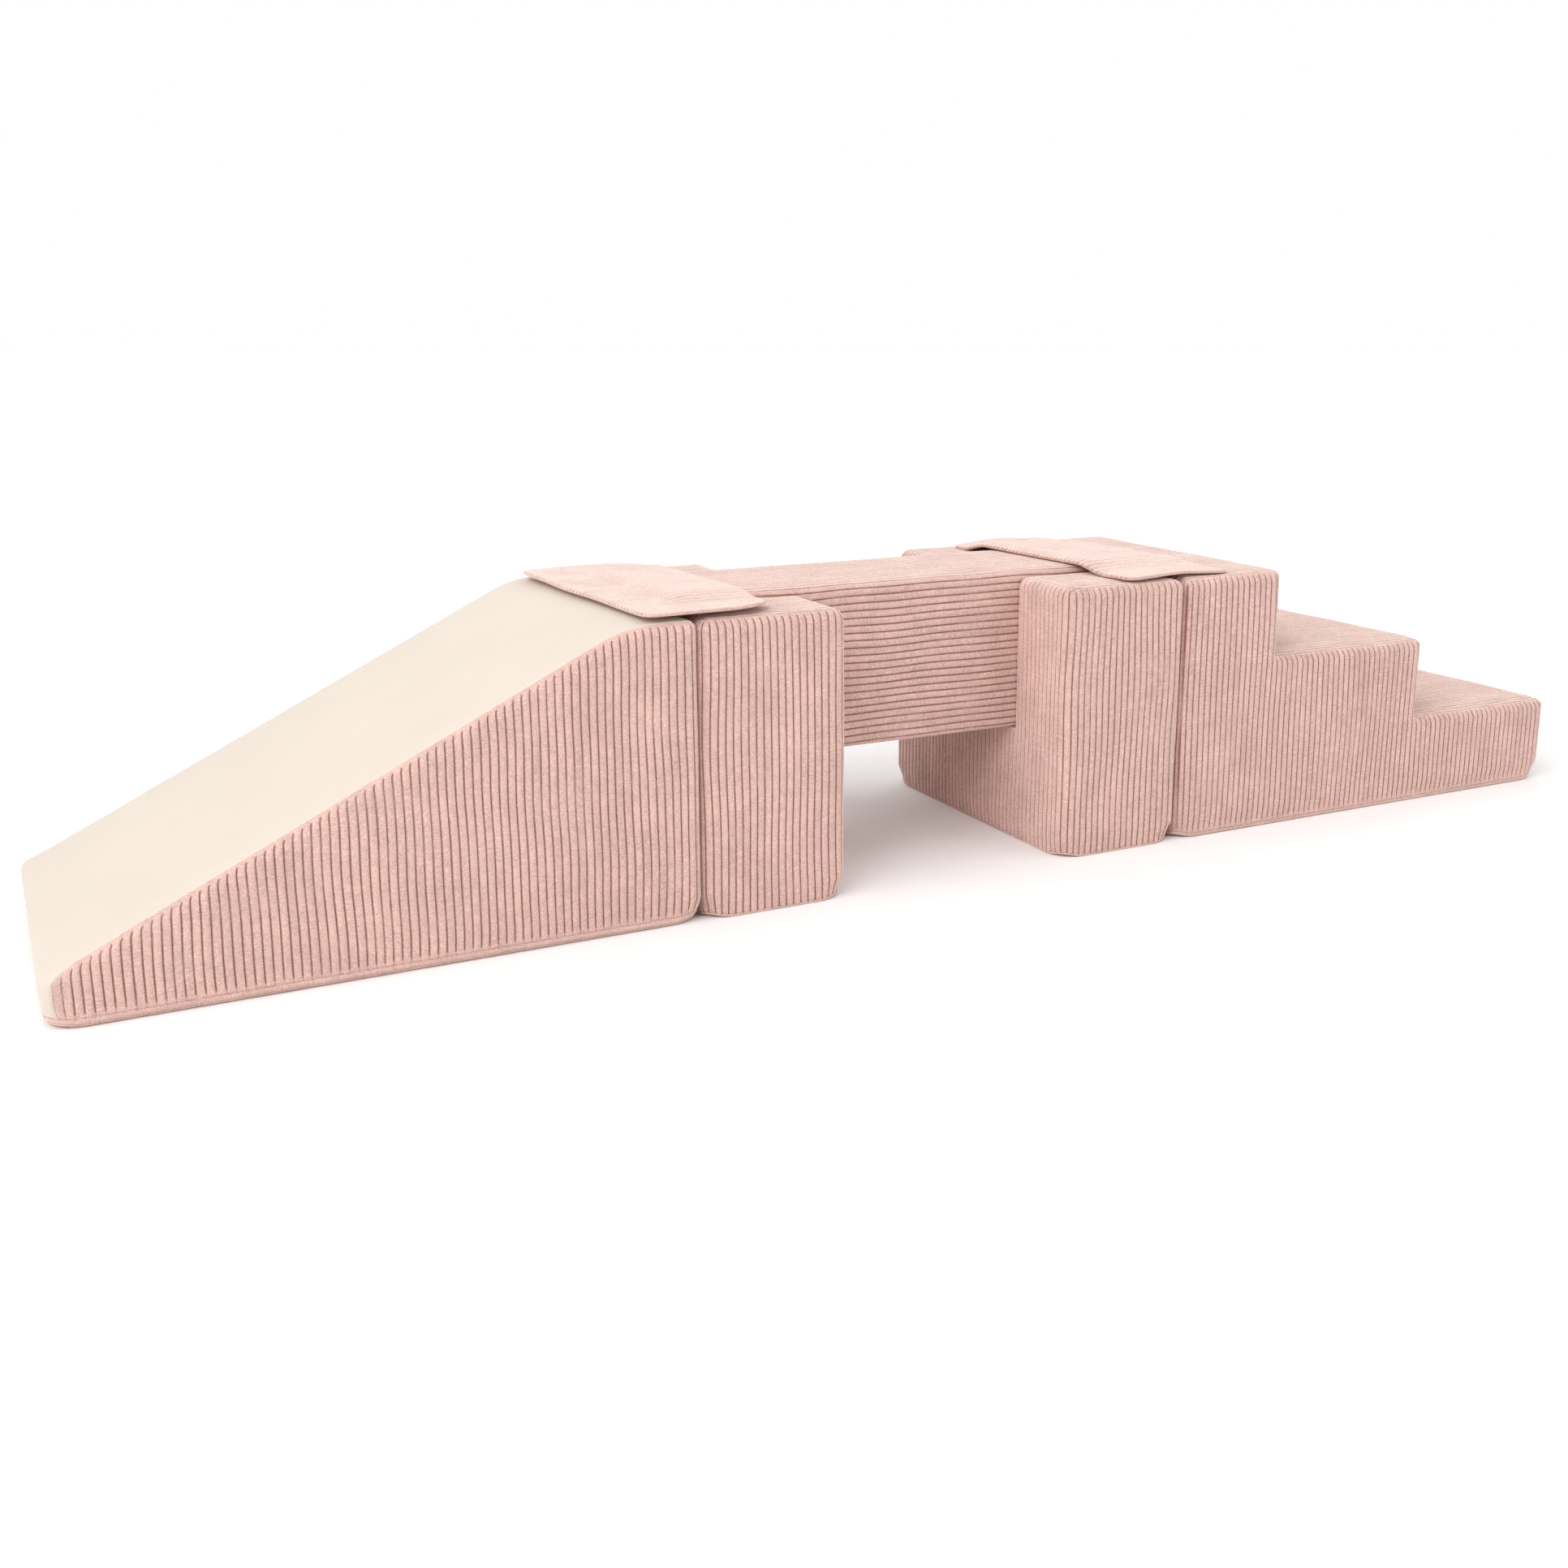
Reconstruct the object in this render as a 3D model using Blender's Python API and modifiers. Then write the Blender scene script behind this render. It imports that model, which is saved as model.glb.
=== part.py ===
"""Soft play climber: a slide wedge, two notched blocks, a bridge beam that lies in the notches, three
stairs, and two flaps that join them with hook and loop tape. Metres, +Z up. The set stands on z = 0,
runs along X from the slide's toe to the lowest stair, and is centred on the origin."""

import math

import bmesh
import bpy
from mathutils import Vector

# Cloth and clearances
COVER_THICKNESS = 0.003
MESH_GAP = 0.0003
TOUCH_GAP = 0.0004
SEAM_GAP = 0.0004
SEAM_HEIGHT = 0.010
CUT_OVERRUN = 0.002

# How a filled cover swells between its seams
SWELL = 0.002
SWELL_MARGIN = 0.014

# Foam as it is cut, before the cover goes on
FOAM_HEIGHT = 0.3134
FOAM_DEPTH = 0.3874
FOAM_EDGE_RADIUS = 0.009
EDGE_STEPS = 3

# Slide wedge
SLIDE_FOAM_LENGTH = 0.6234
PLATFORM_LENGTH = 0.0742
TOE_HEIGHT = 0.0404
RAMP_TOP_RADIUS = 0.130
RAMP_TOP_STEPS = 5

# Notched blocks
BLOCK_FOAM_LENGTH = 0.1568
BLOCK_SPAN = 0.2868
NOTCH_FLOOR_HEIGHT = 0.1376

# Bridge beam, in its cover
BRIDGE_WIDTH = 0.184
BRIDGE_PROUD = 0.0068
NOTCH_CLEARANCE = 0.0004

# Stairs, in their cover
TOP_TREAD_LENGTH = 0.1456
MIDDLE_TREAD_LENGTH = 0.2447
LOW_TREAD_LENGTH = 0.2365
MIDDLE_TREAD_HEIGHT = 0.2146
LOW_TREAD_HEIGHT = 0.1117

# Hook and loop tapes
TAPE_WIDTH = 0.020
LOOP_THICKNESS = 0.0012
HOOK_THICKNESS = 0.0015
MODULE_TAPE_LENGTH = 0.300
BRIDGE_TAPE_LENGTH = 0.138
INNER_TAPE_FROM_SEAM = 0.062

# Joining flaps
FLAP_LENGTH = 0.360
FLAP_THICKNESS = 0.004
FLAP_INNER_REACH = 0.095
FLAP_OUTER_REACH = 0.062
FLAP_OFFSET_Y = -0.012
FLAP_RISE_BEFORE_SEAM = 0.020
FLAP_RISE_PAST_SEAM = 0.008
FLAP_SHOULDER = 0.030
FLAP_CORNER_TRIM = 0.0045
FLAP_CELLS_ACROSS = 10
FLAP_CELLS_ALONG = 20
CURL_HEIGHT = 0.008
CURL_LENGTH = 0.060
LEFT_FLAP_TURN_DEGREES = 1.8
RIGHT_FLAP_TURN_DEGREES = -1.5

# Zips, on the far side of each cover
ZIP_HEIGHT = 0.030
ZIP_SLOT_WIDTH = 0.009
ZIP_TAPE_RECESS = 0.0006
COIL_RADIUS = 0.0022
COIL_STEPS = 6
ZIP_STOP_LENGTH = 0.003
ZIP_STOP_WIDTH = 0.006
ZIP_STOP_PROUD = 0.002
SLIDE_ZIP_LENGTH = 0.300
BLOCK_ZIP_LENGTH = 0.110
BRIDGE_ZIP_LENGTH = 0.200
STAIRS_ZIP_LENGTH = 0.420
STAIRS_ZIP_START = 0.080
SLIDE_ZIP_END_MARGIN = 0.070

# Zip slider and its pull
SLIDER_LENGTH = 0.011
SLIDER_FLANGE = 0.0015
SLIDER_CLEARANCE = 0.0005
SLIDER_TOP = 0.0011
SLIDER_BEVEL = 0.0004
ARCH_LENGTH = 0.0092
ARCH_WALL = 0.0014
ARCH_WIDTH = 0.0024
ARCH_OPENING = 0.0026
ARCH_SINK = 0.0003
PULL_THICKNESS = 0.0014
PULL_BAR = 0.0016
PULL_WINDOW_LENGTH = 0.0062
PULL_WINDOW_CLEARANCE = 0.0005
PULL_RAIL = 0.0023
PULL_LENGTH = 0.026
PULL_END_TAPER_SHARE = 0.78
PULL_CORNER = 0.0016

# Finishes: colour, roughness, metallic
CORDUROY = ((0.72, 0.47, 0.42), 0.9, 0.0)
CREAM_CLOTH = ((0.86, 0.78, 0.68), 0.7, 0.0)
BASE_CLOTH = ((0.70, 0.48, 0.43), 0.8, 0.0)
FOAM = ((0.88, 0.86, 0.78), 0.95, 0.0)
TAPE = ((0.80, 0.62, 0.57), 0.95, 0.0)
ZIP_CLOTH = ((0.74, 0.52, 0.47), 0.7, 0.0)
ZIP_METAL = ((0.55, 0.54, 0.52), 0.35, 1.0)

SKIN = COVER_THICKNESS + MESH_GAP
MODULE_GAP = 2 * SWELL + TOUCH_GAP
SET_HEIGHT = FOAM_HEIGHT + 2 * SKIN
SET_DEPTH = FOAM_DEPTH + 2 * SKIN
SLIDE_LENGTH = SLIDE_FOAM_LENGTH + 2 * SKIN
BLOCK_LENGTH = BLOCK_FOAM_LENGTH + 2 * SKIN
BRIDGE_LENGTH = 2 * BLOCK_LENGTH + BLOCK_SPAN
BRIDGE_HEIGHT = SET_HEIGHT + BRIDGE_PROUD - NOTCH_FLOOR_HEIGHT - NOTCH_CLEARANCE
STAIRS_LENGTH = TOP_TREAD_LENGTH + MIDDLE_TREAD_LENGTH + LOW_TREAD_LENGTH
SET_LENGTH = SLIDE_LENGTH + BRIDGE_LENGTH + STAIRS_LENGTH + 2 * MODULE_GAP
ROUND_MIDDLE = FOAM_EDGE_RADIUS * (1 - math.cos(math.radians(45)))

SLIDE_X = -SET_LENGTH / 2
LEFT_BLOCK_X = SLIDE_X + SLIDE_LENGTH + MODULE_GAP
RIGHT_BLOCK_X = LEFT_BLOCK_X + BLOCK_LENGTH + BLOCK_SPAN
STAIRS_X = RIGHT_BLOCK_X + BLOCK_LENGTH + MODULE_GAP
LEFT_SEAM_X = LEFT_BLOCK_X - MODULE_GAP / 2
RIGHT_SEAM_X = STAIRS_X - MODULE_GAP / 2

# Heights above a cover's far face, from the coil out to the slider's arch
COIL_TOP = COIL_RADIUS - ZIP_TAPE_RECESS
SLIDER_CEILING = COIL_TOP + SLIDER_CLEARANCE
SLIDER_HEIGHT = SLIDER_CEILING + SLIDER_TOP
PULL_AXIS_HEIGHT = SLIDER_HEIGHT + ARCH_OPENING / 2
ARCH_TOP = SLIDER_HEIGHT + ARCH_OPENING + ARCH_WALL
SET_Y = -ARCH_TOP / 2

FLAP_LOW = SET_HEIGHT + SWELL + LOOP_THICKNESS + HOOK_THICKNESS + 3 * MESH_GAP
FLAP_HIGH = FLAP_LOW + BRIDGE_PROUD
OUTER_TAPE_FROM_SEAM = MODULE_GAP / 2 + SKIN + SWELL_MARGIN + MESH_GAP + TAPE_WIDTH / 2


def remove_everything():
    for obj in list(bpy.data.objects):
        bpy.data.objects.remove(obj, do_unlink=True)


def new_collection(name):
    group = bpy.data.collections.new(name)
    bpy.context.scene.collection.children.link(group)
    return group


def finish(obj, look):
    """Give an object a material of its own from a finish above."""
    colour, roughness, metallic = look
    material = bpy.data.materials.new(obj.name)
    material.use_nodes = True
    shader = material.node_tree.nodes["Principled BSDF"]
    shader.inputs["Base Color"].default_value = (*colour, 1.0)
    shader.inputs["Roughness"].default_value = roughness
    shader.inputs["Metallic"].default_value = metallic
    material.diffuse_color = (*colour, 1.0)
    obj.data.materials.append(material)


def new_object(name, mesh, parent, location=(0, 0, 0), look=None):
    """Place a mesh in the set's collection, or a cutter (no finish) in the cutters' collection."""
    obj = bpy.data.objects.new(name, mesh)
    obj.location = location
    obj.parent = parent
    if look is None:
        CUTTERS.objects.link(obj)
        obj.hide_render = True
        obj.display_type = "WIRE"
    else:
        CLIMBER.objects.link(obj)
        finish(obj, look)
    return obj


def new_empty(name, location, parent=None, turn_degrees=0):
    empty = bpy.data.objects.new(name, None)
    empty.location = location
    empty.rotation_euler.z = math.radians(turn_degrees)
    empty.parent = parent
    CLIMBER.objects.link(empty)
    return empty


def mesh_from(bm, name):
    """Turn all faces outwards and hand the working mesh over."""
    bmesh.ops.recalc_face_normals(bm, faces=bm.faces)
    mesh = bpy.data.meshes.new(name)
    bm.to_mesh(mesh)
    bm.free()
    return mesh


def prism(outline, along, start, length):
    """Extrude an outline of (across, z) points along X or Y into a closed working mesh."""
    bm = bmesh.new()
    if along == "Y":
        corners = [bm.verts.new((across, start, z)) for across, z in outline]
        move = Vector((0, length, 0))
    else:
        corners = [bm.verts.new((start, across, z)) for across, z in outline]
        move = Vector((length, 0, 0))
    base = bm.faces.new(corners)
    grown = bmesh.ops.extrude_face_region(bm, geom=[base], use_keep_orig=True)["geom"]
    moved = [item for item in grown if isinstance(item, bmesh.types.BMVert)]
    bmesh.ops.translate(bm, verts=moved, vec=move)
    bmesh.ops.recalc_face_normals(bm, faces=bm.faces)
    return bm


def swell(bm, panels):
    """Raise the middle of each panel, a list of connected faces, away from its seams."""
    for panel in panels:
        bmesh.ops.inset_region(
            bm, faces=panel, thickness=SWELL_MARGIN, depth=SWELL, use_even_offset=True, use_boundary=True
        )


def round_edges(obj, width, steps, smallest_angle):
    bevel = obj.modifiers.new("rounded edges", "BEVEL")
    bevel.width = width
    bevel.segments = steps
    bevel.limit_method = "ANGLE"
    bevel.angle_limit = math.radians(smallest_angle)


def foam_core(name, bm, parent):
    """A foam block with its cut edges rounded."""
    core = new_object(name, mesh_from(bm, name), parent, look=FOAM)
    round_edges(core, FOAM_EDGE_RADIUS, EDGE_STEPS, 35)
    return core


def skin(name, core, cuts, keep, look, thickness=COVER_THICKNESS):
    """Cloth over part of a core: its surface is cut by planes and the kept faces are thickened outwards."""
    evaluated = core.evaluated_get(bpy.context.evaluated_depsgraph_get())
    surface = bpy.data.meshes.new_from_object(evaluated)
    surface.materials.clear()
    bm = bmesh.new()
    bm.from_mesh(surface)
    bpy.data.meshes.remove(surface)
    for point, normal in cuts:
        everything = bm.verts[:] + bm.edges[:] + bm.faces[:]
        bmesh.ops.bisect_plane(bm, geom=everything, plane_co=point, plane_no=normal)
    waste = [face for face in bm.faces if not keep(face.calc_center_median())]
    bmesh.ops.delete(bm, geom=waste, context="FACES")
    mesh = bpy.data.meshes.new(name)
    bm.to_mesh(mesh)
    bm.free()
    cloth = new_object(name, mesh, core.parent, look=look)
    wall = cloth.modifiers.new("cloth", "SOLIDIFY")
    wall.thickness = thickness
    wall.offset = 1 + 2 * MESH_GAP / thickness
    wall.use_even_offset = True
    return cloth


def boolean(obj, other, operation):
    step = obj.modifiers.new(operation.lower(), "BOOLEAN")
    step.operation = operation
    step.object = other
    step.solver = "EXACT"


def box(name, size, centre, parent, look=None):
    bm = bmesh.new()
    bmesh.ops.create_cube(bm, size=1)
    bmesh.ops.scale(bm, verts=bm.verts, vec=size)
    return new_object(name, mesh_from(bm, name), parent, centre, look)


def arc(centre, radius, first_degrees, last_degrees, steps):
    """Points of an arc in the outline's plane, both ends included."""
    points = []
    for step in range(steps + 1):
        angle = math.radians(first_degrees + (last_degrees - first_degrees) * step / steps)
        points.append((centre[0] + radius * math.cos(angle), centre[1] + radius * math.sin(angle)))
    return points


def base_and_cover(prefix, core, cover_cuts=(), cover_keep=lambda centre: True):
    """The base panel with its turned-up rim, and the cover that is sewn to it above the seam."""
    up = Vector((0, 0, 1))
    low = SEAM_HEIGHT - SEAM_GAP / 2
    high = SEAM_HEIGHT + SEAM_GAP / 2
    skin(prefix + "_base", core, [(up * low, up)], lambda c: c.z < low, BASE_CLOTH)
    cuts = [(up * high, up), *cover_cuts]
    return skin(prefix + "_cover", core, cuts, lambda c: c.z > high and cover_keep(c), CORDUROY)


def zip_section():
    """Cross section of the closed zip as (outwards, up): flat tape with the coil's round back on it."""
    half = ZIP_SLOT_WIDTH / 2 - MESH_GAP
    back = -COVER_THICKNESS
    front = -ZIP_TAPE_RECESS
    coil = arc((front, 0), COIL_RADIUS, -90, 90, COIL_STEPS)
    return [(back, -half), (front, -half), *coil, (front, half), (back, half)]


def slider_section():
    """Cross section of the slider's body: a top plate with a flange down each side of the coil."""
    inner = COIL_RADIUS + SLIDER_CLEARANCE
    outer = inner + SLIDER_FLANGE
    foot = -ZIP_TAPE_RECESS + SLIDER_CLEARANCE
    return [
        (foot, -outer), (SLIDER_HEIGHT, -outer), (SLIDER_HEIGHT, outer), (foot, outer),
        (foot, inner), (SLIDER_CEILING, inner), (SLIDER_CEILING, -inner), (foot, -inner),
    ]


def arch_outline():
    """Side view of the slider's arch as (along, outwards), with its feet sunk into the top plate."""
    foot = SLIDER_HEIGHT - ARCH_SINK
    ceiling = SLIDER_HEIGHT + ARCH_OPENING
    outside = ARCH_LENGTH / 2
    inside = outside - ARCH_WALL
    return [
        (-outside, foot), (-outside, ceiling), (-inside, ARCH_TOP), (inside, ARCH_TOP),
        (outside, ceiling), (outside, foot), (inside, foot), (inside, ceiling - ARCH_WALL / 2),
        (inside - ARCH_WALL / 2, ceiling), (-inside + ARCH_WALL / 2, ceiling),
        (-inside, ceiling - ARCH_WALL / 2), (-inside, foot),
    ]


def lay_outwards(bm):
    """Turn a mesh drawn with its second outline coordinate up so that it stands out along +Y."""
    for vert in bm.verts:
        along, across, outwards = vert.co
        vert.co = (along, outwards, across)


def add_pull(name, slider):
    """Flat pull whose end bar lies on its axis inside the slider's arch, which stands in its window."""
    half = ARCH_WIDTH / 2 + PULL_WINDOW_CLEARANCE + PULL_RAIL
    tip = half * PULL_END_TAPER_SHARE
    near = PULL_BAR / 2
    far = near - PULL_LENGTH
    outline = [
        (near, -half + PULL_CORNER), (near, half - PULL_CORNER), (near - PULL_CORNER, half),
        (far + PULL_CORNER, tip), (far, tip - PULL_CORNER), (far, -tip + PULL_CORNER),
        (far + PULL_CORNER, -tip), (near - PULL_CORNER, -half),
    ]
    bm = prism(outline, "Y", -PULL_THICKNESS / 2, PULL_THICKNESS)
    pull = new_object(name, mesh_from(bm, name), slider, (0, PULL_AXIS_HEIGHT, 0), ZIP_METAL)
    window_size = (PULL_WINDOW_LENGTH, PULL_THICKNESS + 2 * CUT_OVERRUN, ARCH_WIDTH + 2 * PULL_WINDOW_CLEARANCE)
    window = box(name + "_window", window_size, (-near - PULL_WINDOW_LENGTH / 2, 0, 0), pull)
    boolean(pull, window, "DIFFERENCE")


def add_zip(prefix, cover, start, length, height, face):
    """A closed zip in a slot through the cover's far face, its slider at the +X end and the pull on it.
    start and length run along X, height is the zip's middle and face the y of the cover's outside."""
    parent = cover.parent
    middle = start + length / 2
    slot_size = (length, COVER_THICKNESS + 2 * CUT_OVERRUN, ZIP_SLOT_WIDTH)
    slot = box(prefix + "_zip_slot", slot_size, (middle, face - COVER_THICKNESS / 2, height), parent)
    boolean(cover, slot, "DIFFERENCE")

    bm = prism(zip_section(), "X", MESH_GAP, length - 2 * MESH_GAP)
    chain = new_object(prefix + "_zip", mesh_from(bm, prefix + "_zip"), parent, (start, face, height), ZIP_CLOTH)
    stop_depth = COVER_THICKNESS / 2 + ZIP_STOP_PROUD
    stop_middle = face + ZIP_STOP_PROUD - stop_depth / 2
    for end, sign in ((start, 1), (start + length, -1)):
        place = (end + sign * (MESH_GAP * 2 + ZIP_STOP_LENGTH / 2), stop_middle, height)
        stop = box(prefix + "_zip_stop", (ZIP_STOP_LENGTH, stop_depth, ZIP_STOP_WIDTH), place, parent)
        boolean(chain, stop, "UNION")

    rest = start + length - 3 * MESH_GAP - ZIP_STOP_LENGTH - SLIDER_CLEARANCE - SLIDER_LENGTH / 2
    name = prefix + "_zip_slider"
    bm = prism(slider_section(), "X", -SLIDER_LENGTH / 2, SLIDER_LENGTH)
    slider = new_object(name, mesh_from(bm, name), parent, (rest, face, height), ZIP_METAL)
    round_edges(slider, SLIDER_BEVEL, 1, 60)
    bm = prism(arch_outline(), "Y", -ARCH_WIDTH / 2, ARCH_WIDTH)
    lay_outwards(bm)
    arch = new_object(prefix + "_zip_arch", mesh_from(bm, prefix + "_zip_arch"), slider)
    boolean(slider, arch, "UNION")
    add_pull(prefix + "_zip_pull", slider)


def loop_tape(name, x, length, z, parent):
    """A strip of loop tape sewn on a top panel, with its length across the set."""
    box(name, (TAPE_WIDTH, length, LOOP_THICKNESS), (x, 0, z + MESH_GAP + LOOP_THICKNESS / 2), parent, TAPE)


def build_slide():
    """Straight ramp from a low toe, rounded over into a short platform."""
    place = new_empty("slide_module", (SLIDE_X, SET_Y, 0))
    left, right = SKIN, SKIN + SLIDE_FOAM_LENGTH
    low, high = SKIN, SKIN + FOAM_HEIGHT
    slope = math.atan2(FOAM_HEIGHT - TOE_HEIGHT, SLIDE_FOAM_LENGTH - PLATFORM_LENGTH)
    tangent = RAMP_TOP_RADIUS * math.tan(slope / 2)
    crest = (right - PLATFORM_LENGTH + tangent, high - RAMP_TOP_RADIUS)
    bend = arc(crest, RAMP_TOP_RADIUS, 90, 90 + math.degrees(slope), RAMP_TOP_STEPS)
    outline = [(left, low), (right, low), (right, high), *bend, (left, low + TOE_HEIGHT)]
    bm = prism(outline, "Y", -FOAM_DEPTH / 2, FOAM_DEPTH)
    bm.faces.ensure_lookup_table()
    upper = [face for face in bm.faces if face.normal.z > MESH_GAP]
    ends = [[face] for face in bm.faces if abs(face.normal.z) < MESH_GAP]
    swell(bm, [upper, *ends])
    core = foam_core("slide_core", bm, place)

    side = FOAM_DEPTH / 2 - ROUND_MIDDLE
    back = right - ROUND_MIDDLE
    inner = side - SEAM_GAP / 2
    outer = side + SEAM_GAP / 2
    across, along, up = Vector((0, 1, 0)), Vector((1, 0, 0)), Vector((0, 0, 1))
    def low_corner(c):
        return c.x > SLIDE_LENGTH / 2 and c.z < SET_HEIGHT / 2

    cover_cuts = [(across * outer, across), (across * -outer, across), (along * (back + SEAM_GAP / 2), along)]
    cover = base_and_cover(
        "slide", core, cover_cuts, lambda c: abs(c.y) > outer or c.x > back + SEAM_GAP / 2 or low_corner(c)
    )
    bottom = SEAM_HEIGHT + SEAM_GAP / 2
    surface_cuts = [
        (across * inner, across), (across * -inner, across), (along * (back - SEAM_GAP / 2), along),
        (up * bottom, up),
    ]
    skin(
        "slide_surface", core, surface_cuts,
        lambda c: abs(c.y) < inner and c.x < back - SEAM_GAP / 2 and c.z > bottom and not low_corner(c),
        CREAM_CLOTH,
    )
    zip_start = SLIDE_LENGTH - SLIDE_ZIP_END_MARGIN - SLIDE_ZIP_LENGTH
    add_zip("slide", cover, zip_start, SLIDE_ZIP_LENGTH, ZIP_HEIGHT, SET_DEPTH / 2 + SWELL)
    tape_x = SLIDE_LENGTH + MODULE_GAP / 2 - OUTER_TAPE_FROM_SEAM
    loop_tape("slide_loop_tape", tape_x, MODULE_TAPE_LENGTH, SET_HEIGHT + SWELL, place)


def build_block(prefix, x):
    """A block with a notch from end to end in its top, where the bridge lies."""
    place = new_empty(prefix + "_module", (x, SET_Y, 0))
    half = FOAM_DEPTH / 2
    notch = BRIDGE_WIDTH / 2 + NOTCH_CLEARANCE + SKIN
    low, high = SKIN, SKIN + FOAM_HEIGHT
    floor = NOTCH_FLOOR_HEIGHT - SKIN
    outline = [
        (-half, low), (half, low), (half, high), (notch, high),
        (notch, floor), (-notch, floor), (-notch, high), (-half, high),
    ]
    bm = prism(outline, "X", SKIN, BLOCK_FOAM_LENGTH)
    panels = []
    for face in bm.faces:
        centre = face.calc_center_median()
        in_notch = abs(centre.y) < notch + MESH_GAP and abs(face.normal.x) < MESH_GAP
        if face.normal.z > -MESH_GAP and not in_notch:
            panels.append([face])
    swell(bm, panels)
    core = foam_core(prefix + "_core", bm, place)
    cover = base_and_cover(prefix, core)
    zip_start = (BLOCK_LENGTH - BLOCK_ZIP_LENGTH) / 2
    add_zip(prefix, cover, zip_start, BLOCK_ZIP_LENGTH, ZIP_HEIGHT, SET_DEPTH / 2 + SWELL)


def build_bridge():
    """The beam that lies in both notches and stands a little proud of the blocks."""
    bottom = NOTCH_FLOOR_HEIGHT + NOTCH_CLEARANCE
    place = new_empty("bridge_module", (LEFT_BLOCK_X, SET_Y, bottom))
    half = BRIDGE_WIDTH / 2 - SKIN
    low, high = SKIN, BRIDGE_HEIGHT - SKIN
    outline = [(-half, low), (half, low), (half, high), (-half, high)]
    bm = prism(outline, "X", SKIN, BRIDGE_LENGTH - 2 * SKIN)
    swell(bm, [[face] for face in bm.faces if face.normal.z > MESH_GAP or abs(face.normal.x) > MESH_GAP])
    core = foam_core("bridge_core", bm, place)
    cover = skin("bridge_cover", core, [], lambda c: True, CORDUROY)
    zip_start = (BRIDGE_LENGTH - BRIDGE_ZIP_LENGTH) / 2
    add_zip("bridge", cover, zip_start, BRIDGE_ZIP_LENGTH, ZIP_HEIGHT, BRIDGE_WIDTH / 2)
    top = BRIDGE_HEIGHT + SWELL
    tape_x = INNER_TAPE_FROM_SEAM - MODULE_GAP / 2
    loop_tape("bridge_left_loop_tape", tape_x, BRIDGE_TAPE_LENGTH, top, place)
    loop_tape("bridge_right_loop_tape", BRIDGE_LENGTH - tape_x, BRIDGE_TAPE_LENGTH, top, place)
    return place


def build_stairs():
    """Three treads that step down towards +X, cut from one foam block."""
    place = new_empty("stairs_module", (STAIRS_X, SET_Y, 0))
    low = SKIN
    heights = (SKIN + FOAM_HEIGHT, MIDDLE_TREAD_HEIGHT - SKIN, LOW_TREAD_HEIGHT - SKIN)
    noses = (
        TOP_TREAD_LENGTH - SKIN,
        TOP_TREAD_LENGTH + MIDDLE_TREAD_LENGTH - SKIN,
        STAIRS_LENGTH - SKIN,
    )
    outline = [(SKIN, low)]
    left = SKIN
    for height, nose in zip(heights, noses):
        outline.append((left, height))
        outline.append((nose, height))
        left = nose
    outline.append((noses[-1], low))
    bm = prism(outline, "Y", -FOAM_DEPTH / 2, FOAM_DEPTH)
    swell(bm, [[face] for face in bm.faces if face.normal.z > -MESH_GAP])
    core = foam_core("stairs_core", bm, place)
    cover = base_and_cover("stairs", core)
    add_zip("stairs", cover, STAIRS_ZIP_START, STAIRS_ZIP_LENGTH, ZIP_HEIGHT, SET_DEPTH / 2 + SWELL)
    tape_x = OUTER_TAPE_FROM_SEAM - MODULE_GAP / 2
    loop_tape("stairs_loop_tape", tape_x, MODULE_TAPE_LENGTH, SET_HEIGHT + SWELL, place)


def smooth_step(value, first, last):
    """0 before first, 1 after last, and the cubic 3t^2 - 2t^3 between them."""
    t = min(max((value - first) / (last - first), 0), 1)
    return t * t * (3 - 2 * t)


def flap_height(reach, y, curl):
    """Height of a flap's underside, reach past the seam on the bridge's side and y from the set's middle.
    It lies low on the end module and the cheeks, and steps up over the bridge's end."""
    past_seam = smooth_step(reach, -FLAP_RISE_BEFORE_SEAM, FLAP_RISE_PAST_SEAM)
    half = BRIDGE_WIDTH / 2
    over_bridge = 1 - smooth_step(abs(y), half, half + FLAP_SHOULDER)
    near_edge = FLAP_OFFSET_Y - FLAP_LENGTH / 2
    to_corner = math.hypot(FLAP_INNER_REACH - reach, y - near_edge)
    lift = curl * (1 - smooth_step(to_corner, 0, CURL_LENGTH))
    return FLAP_LOW + (FLAP_HIGH - FLAP_LOW) * past_seam * over_bridge + lift


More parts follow.
